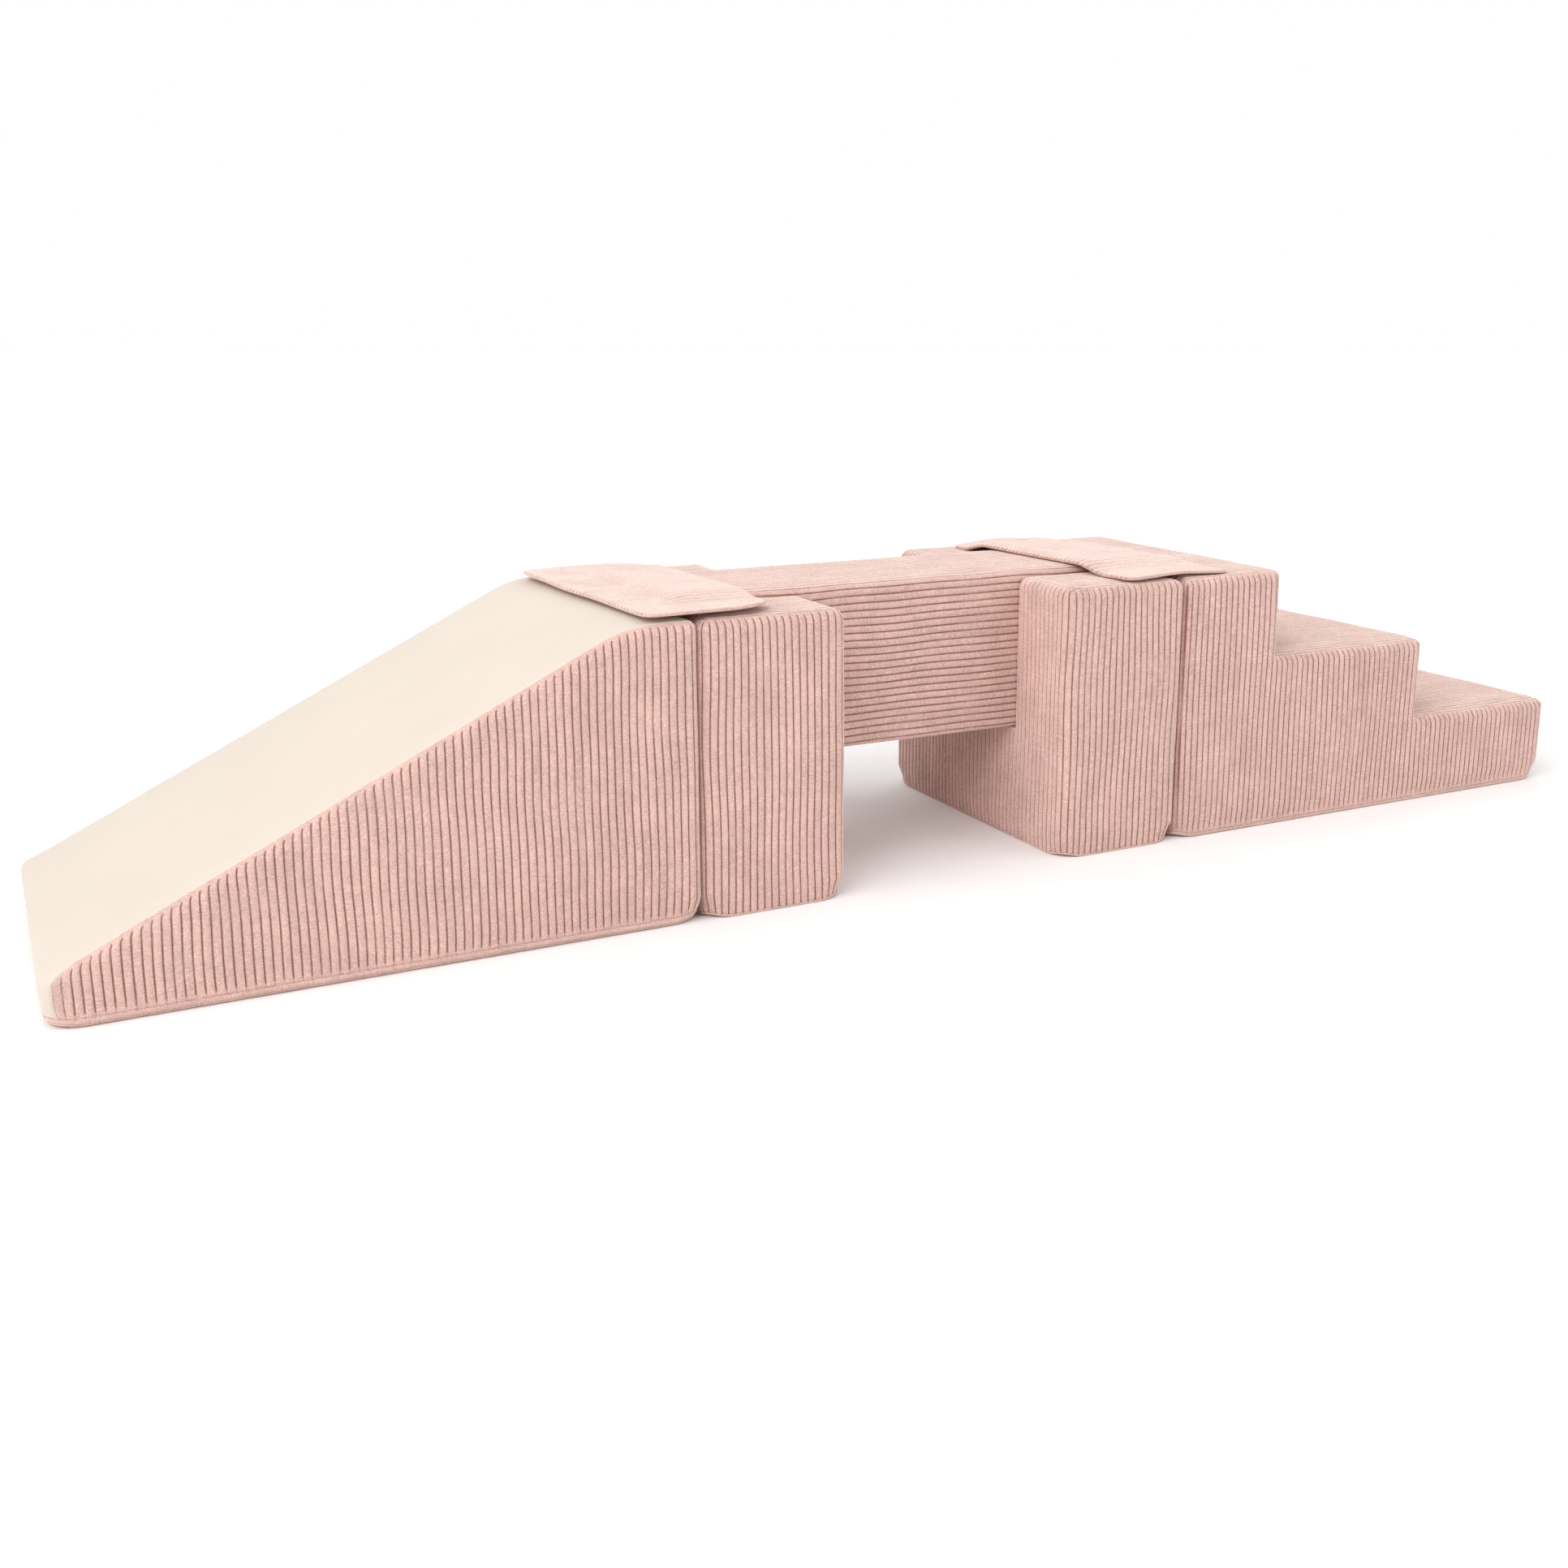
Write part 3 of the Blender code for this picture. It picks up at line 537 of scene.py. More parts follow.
def link(name, data):
    """Put a new object in the scene."""
    made = bpy.data.objects.new(name, data)
    bpy.context.scene.collection.objects.link(made)
    return made


def weld(mesh, gap):
    """Merge a mesh's vertices that lie closer than a gap, and drop faces that have no area."""
    bm = bmesh.new()
    bm.from_mesh(mesh)
    bmesh.ops.remove_doubles(bm, verts=bm.verts, dist=gap)
    bmesh.ops.dissolve_degenerate(bm, dist=NO_AREA, edges=bm.edges)
    bm.to_mesh(mesh)
    bm.free()


def add_piece(name, mesh, slot, body, replaced):
    """Put a mesh in the scene: it rides on a body, wears a slot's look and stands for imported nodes."""
    mesh.materials.clear()
    mesh.materials.append(LOOKS[slot])
    piece = link(name, mesh)
    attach(piece, body)
    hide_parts(*replaced)
    return piece


def mesh_piece(name, patches, slot, body, replaced, footprint=None):
    """Sew patches into one smooth mesh piece that rides on a body, drawn in at the corners of its footprint."""
    place = drawn_in(np.concatenate([patch.place.reshape(-1, 3) for patch in patches]), footprint)
    cloth = np.concatenate([patch.cloth.reshape(-1, 2) for patch in patches])
    rib = np.concatenate([patch.rib.ravel() for patch in patches])
    level = np.clip(np.concatenate([patch.normal[..., 2].ravel() for patch in patches]), 0, 1)
    starts = np.cumsum([0] + [patch.rib.size for patch in patches])
    faces = np.concatenate([patch.faces() + start for patch, start in zip(patches, starts)])
    used, faces = np.unique(faces, return_inverse=True)
    faces = faces.reshape(-1, 4)
    mesh = bpy.data.meshes.new(name)
    mesh.vertices.add(len(used))
    mesh.vertices.foreach_set("co", place[used].astype(np.float32).ravel())
    mesh.loops.add(faces.size)
    mesh.loops.foreach_set("vertex_index", faces.astype(np.int32).ravel())
    mesh.polygons.add(len(faces))
    mesh.polygons.foreach_set("loop_start", np.arange(0, faces.size, 4, dtype=np.int32))
    mesh.update(calc_edges=True)
    uv = mesh.uv_layers.new(name="Cloth")
    uv.data.foreach_set("uv", cloth[used][faces.ravel()].astype(np.float32).ravel())
    # rib carries each point's shade value, from which the corduroy paints shade; level, how far a face looks up,
    # lets it paint level faces lighter as a painted sheen
    for key, values in (("rib", rib[used]), ("level", level[used])):
        mesh.attributes.new(key, "FLOAT", "POINT").data.foreach_set("value", values.astype(np.float32))
    weld(mesh, SEWN_GAP)
    mesh.shade_smooth()
    return add_piece(name, mesh, slot, body, replaced)


def make_core(prefix, body, footprint):
    """The foam in a cover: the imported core's surface, eased in under the cloth's grooves, its floor corners
    drawn in as the cover's are."""
    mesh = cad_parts[prefix + "_core"].data.copy()
    mesh.name = prefix + "_foam"
    weld(mesh, CORE_GAP)
    place, normal = np.empty((2, len(mesh.vertices) * 3), np.float32)
    mesh.vertices.foreach_get("co", place)
    mesh.vertex_normals.foreach_get("vector", normal)
    place = drawn_in((place - CORE_EASE * normal).reshape(-1, 3), footprint)
    mesh.vertices.foreach_set("co", place.astype(np.float32).ravel())
    mesh.update()
    add_piece(prefix + "_foam", mesh, "foam", body, (prefix + "_core",))


class Number:
    """A number socket that takes part in Python sums, each of which adds a Math node."""

    def __init__(self, shader, socket):
        self.shader, self.socket = shader, socket

    def _sum(self, operation, first, second):
        inputs = {0: first, 1: second}
        return Number(self.shader, self.shader.add("ShaderNodeMath", {"operation": operation}, inputs))

    def __add__(self, other):
        return self._sum("ADD", self, other)

    __radd__ = __add__

    def __sub__(self, other):
        return self._sum("SUBTRACT", self, other)

    def __rsub__(self, other):
        return self._sum("SUBTRACT", other, self)

    def __mul__(self, other):
        return self._sum("MULTIPLY", self, other)

    __rmul__ = __mul__


class Finish:
    """A material under construction, with the few kinds of node that its finishes share."""

    def __init__(self, name, colour, roughness, metallic=0.0):
        self.material = bpy.data.materials.new(name)
        self.material.use_nodes = True
        self.tree = self.material.node_tree
        self.surface = self.tree.nodes["Principled BSDF"]
        self.set(Base_Color=colour, Roughness=roughness, Metallic=metallic)
        self.material.diffuse_color = colour

    def feed(self, socket, value):
        """Link a socket to another one, or set its value."""
        value = value.socket if isinstance(value, Number) else value
        if isinstance(value, bpy.types.NodeSocket):
            self.tree.links.new(value, socket)
        else:
            socket.default_value = value

    def set(self, **values):
        """Feed sockets of the surface, named with underscores for spaces."""
        for key, value in values.items():
            self.feed(self.surface.inputs[key.replace("_", " ")], value)
        return self.material

    def add(self, kind, settings=None, inputs=None, output=0):
        """A node of a kind: its settings are set first, then its sockets are fed."""
        node = self.tree.nodes.new(kind)
        for key, value in (settings or {}).items():
            setattr(node, key, value)
        for key, value in (inputs or {}).items():
            self.feed(node.inputs[key], value)
        return node.outputs[output]

    def attribute(self, name):
        return Number(self, self.add("ShaderNodeAttribute", {"attribute_name": name}, output="Fac"))

    def place(self, scale, cloth=False):
        """Object or cloth coordinates, stretched by three factors."""
        coordinates = self.add("ShaderNodeTexCoord", output="UV" if cloth else "Object")
        return self.add("ShaderNodeMapping", {}, {"Vector": coordinates, "Scale": scale})

    def noise(self, scale, detail=2.0, stretch=(1, 1, 1), cloth=False, roughness=0.5):
        inputs = {"Vector": self.place(stretch, cloth), "Scale": scale, "Detail": detail, "Roughness": roughness}
        return Number(self, self.add("ShaderNodeTexNoise", {}, inputs, output="Fac"))

    def smooth(self, value, low, high):
        """0 below low, 1 above high, and a smooth step between them."""
        inputs = {"Value": value, "From Min": low, "From Max": high}
        return Number(self, self.add("ShaderNodeMapRange", {"interpolation_type": "SMOOTHSTEP"}, inputs))

    def blend(self, share, first, second, mode="MIX"):
        """A colour between two by a share, or another way of mixing them."""
        inputs = {0: share, 6: first, 7: second}
        return self.add("ShaderNodeMix", {"data_type": "RGBA", "blend_type": mode}, inputs, output=2)

    def tint(self, colour, share):
        """A colour multiplied by a grey of a share."""
        grey = self.add("ShaderNodeCombineColor", {}, {0: share, 1: share, 2: share})
        return self.blend(1.0, colour, grey, "MULTIPLY")

    def bump(self, height, depth, strength=1.0):
        return self.add("ShaderNodeBump", {}, {"Height": height, "Distance": depth, "Strength": strength})


def srgb(red, green, blue):
    """A colour picked on a screen, 0 to 255, as linear light with full cover."""
    share = np.array((red, green, blue)) / 255
    light = np.where(share <= 0.04045, share / 12.92, ((share + 0.055) / 1.055) ** 2.4)
    return (*light.tolist(), 1.0)


RIB_COLOUR = srgb(222, 186, 176)
# Painted shade: the dark colour laid into the grooves between ribs
GROOVE_SHADE_COLOUR = srgb(152, 106, 95)
# Painted sheen: the lighter colour that rib tips and level faces take when seen from the side
PAINTED_SHEEN_COLOUR = srgb(253, 229, 219)
SHEEN_COLOUR = srgb(255, 236, 228)
CREAM_COLOUR = srgb(220, 207, 193)
FOAM_COLOUR, FOAM_CELL_COLOUR = srgb(236, 232, 214), srgb(240, 236, 220)
LOOP_COLOUR, HOOK_COLOUR = srgb(214, 170, 160), srgb(200, 150, 140)
ZIP_COLOUR, ZIP_TAPE_COLOUR, ZIP_COIL_COLOUR = srgb(196, 140, 130), srgb(176, 120, 112), srgb(214, 160, 150)
METAL_COLOUR = srgb(188, 186, 182)


def corduroy():
    """Cut pile: narrow ragged grooves between ribs, painted darker as painted shade that is lessened where the pile
    partly fills them, streaks along the ribs, patches brushed light and dark, short marks across the ribs, gritty
    tips and light flecks, and a fuzzy bump. Seen from the side the rib tips are painted lighter as a painted sheen,
    and on level faces seen from the side the painted sheen grows and the painted groove shade mostly gives way."""
    finish = Finish("blush_corduroy", RIB_COLOUR, 0.92)
    rib = finish.attribute("rib")
    brushed = finish.noise(22, 3.0, roughness=0.6)
    blots = finish.noise(110, 2.0, roughness=0.6)
    streaks = finish.noise(1, 1.0, (95, 7, 1), cloth=True)
    marks = finish.smooth(finish.noise(1, 1.0, (90, 480, 1), cloth=True), 0.3, 0.7)
    marked = finish.smooth(finish.noise(38, 1.0), 0.42, 0.62)
    grit = finish.smooth(finish.noise(600, 1.0, roughness=0.6), 0.30, 0.70)
    fuzz = finish.noise(850, 2.0, roughness=0.7)
    flecks = finish.smooth(finish.noise(520, 0.0), 0.60, 0.78)
    tone = 0.32 + 0.34 * brushed + 0.26 * blots + 0.40 * fuzz + 0.19 * (grit - 0.5) + 0.24 * streaks
    tone = tone + 0.14 * (marks - 0.5) * marked + 0.16 * flecks
    # Painted sheen and highlight: rib tips seen from the side, and level faces seen from the side, are blended
    # toward a lighter colour
    grazing = Number(finish, finish.add("ShaderNodeLayerWeight", {}, {"Blend": 0.5}, output="Facing"))
    level_at_grazing = finish.smooth(grazing, 0.45, 0.85) * finish.attribute("level")
    lit = finish.smooth(grazing, 0.40, 0.90) * finish.smooth(rib, 0.4, 0.9)
    pale = 0.8 * lit + 0.2 * level_at_grazing
    pile = finish.tint(finish.blend(pale, RIB_COLOUR, PAINTED_SHEEN_COLOUR), tone)
    # Painted shade in the grooves, driven by the shade value in the rib attribute: ragged at its edges, lessened
    # where the pile partly fills them and on level faces seen from the side
    filled = finish.smooth(finish.noise(26, 2.0), 0.50, 0.68)
    bare = 1 - finish.smooth(rib + 0.14 * (grit - 0.5), 0.0, 0.80)
    bare = bare * (1 - 0.28 * filled) * (1 - 0.75 * level_at_grazing)
    colour = finish.blend(bare, pile, GROOVE_SHADE_COLOUR)
    height = 0.6 * fuzz + 0.12 * grit + 0.15 * marks + 0.3 * blots
    normal = finish.bump(height, 0.0014, 0.7)
    return finish.set(
        Base_Color=colour, Normal=normal, Sheen_Weight=0.85, Sheen_Roughness=0.35,
        Sheen_Tint=SHEEN_COLOUR, Specular_IOR_Level=0.1,
    )


def cream_cloth():
    """Smooth close-woven cloth with a short nap that is brushed unevenly."""
    finish = Finish("cream_cloth", CREAM_COLOUR, 0.75)
    brushed = finish.noise(9, 3.0)
    weave = finish.noise(1, 1.0, (900, 900, 1), cloth=True)
    colour = finish.tint(CREAM_COLOUR, 0.93 + 0.09 * brushed + 0.03 * weave)
    normal = finish.bump(0.3 * brushed + 0.7 * weave, 0.0004, 0.35)
    return finish.set(
        Base_Color=colour, Normal=normal, Sheen_Weight=0.25, Sheen_Roughness=0.5, Specular_IOR_Level=0.25,
    )


def foam():
    """Open-cell foam: small round cells."""
    finish = Finish("foam", FOAM_COLOUR, 0.95)
    cells = finish.add("ShaderNodeTexVoronoi", {}, {"Vector": finish.place((1, 1, 1)), "Scale": 700})
    cells = Number(finish, cells)
    colour = finish.tint(FOAM_CELL_COLOUR, 0.8 + 0.3 * cells)
    return finish.set(Base_Color=colour, Normal=finish.bump(cells, 0.001, 0.6))


def tape(name, colour, scale):
    """Hook or loop tape: a woven ground with upright bristles or a tangle of loops."""
    finish = Finish(name, colour, 0.9)
    tangle = finish.noise(scale, 3.0, roughness=0.7)
    return finish.set(
        Base_Color=finish.tint(colour, 0.6 + 0.6 * tangle), Normal=finish.bump(tangle, 0.0012, 0.9),
        Sheen_Weight=0.2,
    )


def zip_cloth():
    """The zip's woven tape, and its nylon coil where the rib stands high."""
    finish = Finish("zip_cloth", ZIP_COLOUR, 0.6)
    weave = finish.noise(1, 1.0, (1600, 1600, 1), cloth=True)
    colour = finish.blend(finish.attribute("rib"), ZIP_TAPE_COLOUR, ZIP_COIL_COLOUR)
    colour = finish.tint(colour, 0.85 + 0.25 * weave)
    return finish.set(Base_Color=colour, Normal=finish.bump(weave, 0.0002, 0.4))


def zip_metal():
    """Die-cast slider metal, brushed and lightly worn."""
    finish = Finish("zip_metal", METAL_COLOUR, 0.32, 1.0)
    grain = finish.noise(1, 2.0, (300, 300, 4000))
    return finish.set(Roughness=0.26 + 0.16 * grain, Normal=finish.bump(grain, 0.0001, 0.2))


def squeeze_corner(a, b, corner, inward, radius):
    """Map the square at a corner to a quarter disc: the larger offset from the disc's centre becomes the
    distance from it, along the point's own direction, so that both edges come to lie on the fillet."""
    centre = (corner[0] + inward[0] * radius, corner[1] + inward[1] * radius)
    da, db = (centre[0] - a) * inward[0], (centre[1] - b) * inward[1]
    inside = (da > 0) & (db > 0)
    scale = np.where(inside, np.maximum(da, db) / np.maximum(np.hypot(da, db), TINY), 1)
    new_a = np.where(inside, centre[0] - inward[0] * da * scale, a)
    new_b = np.where(inside, centre[1] - inward[1] * db * scale, b)
    return new_a, new_b


def folded(surface, distance, radius=INNER_RADIUS):
    """Turn a panel's edge in by a quarter circle: at a distance below the radius it drops to the circle."""
    place, normal = surface
    short = np.maximum(radius - distance, 0)
    return place - normal * (radius - np.sqrt(np.maximum(radius**2 - short**2, 0)))[..., None], normal


def with_lip(places, before, after):
    """Grid places with a lip's steps added at either end: the places, and how far beyond the end each lies."""
    first, last = LIP[::-1] if before else (), LIP if after else ()
    grown = np.concatenate([np.full(len(first), places[0]), places, np.full(len(last), places[-1])])
    return grown, np.concatenate([first, np.zeros(len(places)), last])


def cap_patch(block, a, b, high_end, seams=(), ribs="b", corners=(), hollows=(), top=None, slot=None, fold=None,
              base=None, lips=(False, False, False), lip_share=None, side_lip_from=0.0, turn=0.0, rib_from=None,
              rib_pitch=None, rib_ends=BLOCK_RIB_ENDS, seed=1):
    """Ribbed cloth on an end face, on a grid of outline coordinates a and b, with its ribs along b or a. top
    turns b into heights under a slanted edge, corners and hollows bring the grid onto outer and inner fillets,
    slot is left open for a zip, the cloth folds in at the lines of fold, and base is the height of the floor
    seam. lips says where the cloth goes on round the edge: before the first column, after the last above
    side_lip_from, and over the last row, there by lip_share of its full width. rib_ends are the distances from
    the outer seam between which the ribs rise."""
    low_a, low_b, wide_a, wide_b = a[0], b[0], a[-1] - a[0], b[-1] - b[0]
    a, beyond_a = with_lip(a, *lips[:2])
    b, beyond_b = with_lip(b, False, lips[2])
    over = (beyond_b[:-1] > 0) | (beyond_b[1:] > 0)
    before = np.arange(len(a) - 1) < len(LIP) * lips[0]
    after = np.arange(len(a) - 1) >= len(a) - 1 - len(LIP) * lips[1]
    a, b = np.meshgrid(a, b, indexing="ij")
    beyond = np.maximum(beyond_a[:, None], beyond_b[None, :])
    for corner, way, radius in hollows:
        off_a, off_b = a - corner[0], b - corner[1]
        on_edge = (np.abs(off_a) < ON_LINE) & (off_b * way[1] >= 0) & (np.abs(off_b) < radius)
        on_edge |= (np.abs(off_b) < ON_LINE) & (off_a * way[0] >= 0) & (np.abs(off_a) < radius)
        middle = np.array(corner) + np.array(way) * radius
        off_a, off_b = a - middle[0], b - middle[1]
        scale = radius / np.maximum(np.hypot(off_a, off_b), TINY)
        a = np.where(on_edge, middle[0] + off_a * scale, a)
        b = np.where(on_edge, middle[1] + off_b * scale, b)
    for corner, inward, radius in corners:
        a, b = squeeze_corner(a, b, corner, inward, radius)
    b = b if top is None else top(a, b)
    plane = np.stack([a, b], axis=-1)
    share = 1.0 if lip_share is None else lip_share(a)
    surface = block.cap(plane, high_end, beyond * share)
    depth, _ = block.outline.nearest(plane)
    seam = depth + (LIP[-1] * share if any(lips) else -turn) - beyond * share
    if len(seams):
        seam = np.minimum(seam, line_distance(plane, seams))
    if fold:
        surface = folded(surface, line_distance(plane, fold))
    over_ribs = (a - low_a, b + beyond, wide_a) if ribs == "b" else (b - low_b, a, wide_b)
    if rib_from is not None:
        over_ribs = (a - rib_from, *over_ribs[1:])
    patch = dress(surface, plane, over_ribs, seam, b, base, (), slot, rib_ends, rib_pitch, seed=seed)
    under_lip = after[:, None] & (middles(b) < side_lip_from)
    patch.cells &= ~((before | after)[:, None] & over[None, :]) & ~under_lip
    return patch


def wall_patch(block, s, c, seams, ribs="s", crown=1.0, ribbed=True, slot=None, holes=(), fold=None, base=None,
               bend=None, seed=1):
    """Cloth round a block, over lengths s of its outline and c along its axis, with its ribs along s or c. crown
    is the share of the swell, holes are rectangles that are left out, the cloth folds in at the lines of fold,
    base is the height of the floor seam, and bend moves c to other places along the axis."""
    s2, c2 = np.meshgrid(s, c, indexing="ij")
    surface = block.wall(s2, c2 if bend is None else bend(s2, c2))
    plane = np.stack([s2, c2], axis=-1)
    if fold:
        surface = folded(surface, line_distance(plane, fold))
    over_ribs = (c2 - c[0], s2, c[-1] - c[0]) if ribs == "s" else (s2 - s[0], c2, s[-1] - s[0])
    return dress(surface, plane, over_ribs, line_distance(plane, seams), surface[0][..., 2], base, holes, slot,
                 crown=crown, ribbed=ribbed, seed=seed)


def base_panel(name, low, high, seam_height, body, replaced):
    """The panel under a module, turned up to the floor seam. Its section, carried round the footprint, is a
    seam and a roll that turns under, which a tall one divides with a groove; the underside is flat."""
    footprint = round_rectangle(low, high, EDGE_RADIUS, ARC_STEPS)
    s = footprint.rows()
    path, outward = footprint.at(s)
    turn = np.linspace(0, 1, PANEL_STEPS + 1)
    angle = turn * math.pi / 2
    waves = HIGH_PANEL_WAVES if seam_height > HIGH_PANEL_SEAM else PANEL_WAVES
    ribs = 1 - np.abs(np.cos(math.pi * turn * waves)) ** 3
    dip = PANEL_DIP * (1 - ribs) * smooth_step(1 - turn, 0, 0.25)
    out = -seam_height * (1 - np.cos(angle)) * PANEL_ROLL - dip * np.cos(angle)
    up = seam_height * (1 - np.sin(angle)) + dip * np.sin(angle)
    out = np.concatenate([[-PANEL_TUCK[0]], out, [-PANEL_INSET]])
    up = np.concatenate([[seam_height + PANEL_TUCK[1]], np.maximum(up, 0), [0]])
    # Painted shade along the rim: darkest at the tuck behind the cover, darker at the seam and in the dips of the
    # roll, a little at its edge underneath
    shade = np.concatenate([[0.4], np.where(turn < 0.95, 0.45 + 0.55 * ribs, 1), [0.8]])
    place = np.insert(path[:, None] + outward[:, None] * out[:, None], 2, up, axis=-1)
    wobble = np.minimum(PANEL_PUCKER * ripple(place, PUCKER_SCALE, PANEL_SEED), 0) * (up > PANEL_STILL)
    place[..., :2] += outward[:, None] * wobble[..., None]
    normal = np.insert(np.broadcast_to(outward[:, None], place[..., :2].shape), 2, -0.5, axis=-1)
    cloth = np.stack(np.broadcast_arrays(up, s[:, None]), axis=-1)
    rim = Patch(place, normal, cloth, np.broadcast_to(shade, wobble.shape))
    inner = [even(a + PANEL_INSET, b - PANEL_INSET, SOLE_STEP) for a, b in zip(low, high)]
    sole = flat_patch(*inner, 0, 2, -1, SOLE_SHADE)
    return mesh_piece(name, [rim, sole], "base_cloth", body, replaced, (low, high))


def coil_zip(name, node, body):
    """A closed coil zip in its slot: flat tape with two interlocking rows of coil along its middle. The coil
    is a raised round back, cut by grooves that slant one way on one half and the other way on the other."""
    low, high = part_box(node)
    middle, half = (low.z + high.z) / 2, (high.z - low.z) / 2
    front = low.y + ZIP_TAPE_THICKNESS
    x = np.linspace(low.x, high.x, int((high.x - low.x) / COIL_PITCH * COIL_STEPS) + 1)
    z = np.concatenate([[-half], np.linspace(-COIL_HALF, COIL_HALF, COIL_ROWS), [half]])
    x, z = np.meshgrid(x, z, indexing="ij")
    on_coil = np.clip(1 - (z / COIL_HALF) ** 2, 0, 1)
    slant = np.abs(z) / COIL_HALF * COIL_SLANT
    tooth = 0.5 + 0.5 * np.cos(2 * math.pi * (x / COIL_PITCH + slant + np.where(z > 0, 0.5, 0.0)))
    lift = np.sqrt(on_coil) * COIL_HALF * (COIL_RISE[0] + COIL_RISE[1] * tooth)
    lift -= COIL_JOIN_DEPTH * np.exp(-((z / COIL_JOIN_WIDTH) ** 2)) * (on_coil > 0)
    place = np.stack([x, front + np.maximum(lift, 0), middle + z], axis=-1)
    # The coil runs toward the tape's colour in the hollows between its turns: partly the tape seen between them,
    # partly painted shade
    rib = np.where(on_coil > 0, COIL_SHADE + (1 - COIL_SHADE) * tooth, 0.0)
    coil = Patch(place, facing(place, 1), np.stack([x, z], axis=-1), rib)
    ends, sides = (low.x, high.x), (middle - half, middle + half)
    rear = flat_patch(ends, (-half, half), low.y, 1, -1)
    rear.place[..., 2] += middle
    edges = [flat_patch(ends, (low.y, front), side, 2, sign) for side, sign in zip(sides, (-1, 1))]
    mesh_piece(name, [coil, rear, *edges], "zip_cloth", body, (node,))


def zip_slot(node):
    """The opening for a zip: x, z, x, z of its rectangle."""
    low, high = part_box(node)
    middle = (low.z + high.z) / 2
    half = ZIP_SLOT_WIDTH / 2
    return low.x - ZIP_END_GAP, middle - half, high.x + ZIP_END_GAP, middle + half


def slot_rows(slot):
    """Places at a zip opening's two long edges and a little beside them."""
    return [slot[1] - SLOT_MARGIN, slot[1], slot[3], slot[3] + SLOT_MARGIN]


def slot_binding(slot, face):
    """The bound edge of a zip's opening: a half-round bead, carried round the opening's rectangle with small
    round corners, and a lip behind it."""
    line = round_rectangle(slot[:2], slot[2:], BINDING_CORNER, BINDING_STEPS)
    angle = np.radians(np.linspace(*BEAD_TURN, BEAD_STEPS + 1))
    out = np.append(BINDING_BEAD * np.cos(angle) + BINDING_BEAD * 0.3, BINDING_BEAD * -0.7)
    up = np.append(BINDING_BEAD * np.sin(angle) - BINDING_BEAD * 0.8, -BINDING_DEPTH)
    plane = line.points[:, None] + line.normals[:, None] * out[:, None]
    place = np.insert(plane, 1, face + up, axis=-1)
    return Patch(place, facing(place, 1), plane, np.full(plane.shape[:2], 0.9))


def banded_rows(low_band, top_band, count):
    """Rows of a panel of any height: fixed steps from its lower edge, even shares, fixed steps to its upper edge."""
    low, top = np.array(low_band), np.array(top_band)
    steps = np.concatenate([low, np.full(count - 1, low[-1]), low[-1] + top[-1] - top[::-1]])
    shares = np.concatenate([np.zeros(len(low)), np.arange(1, count) / count, np.ones(len(top))])
    return steps, shares, low[-1] + top[-1]


def complete(prefix, body, cloths, footprint=None, base_seam=0.0):
    """A module's pieces besides its cover: its base panel, if it stands on a footprint, its foam and its zip.
    Its cloths are not used."""
    if footprint:
        sole = base_panel(prefix + "_sole", *footprint, base_seam, body, (prefix + "_base",))
        cloths = (*cloths, sole)
    make_core(prefix, body, footprint)
    coil_zip(prefix + "_coil", prefix + "_zip", body)


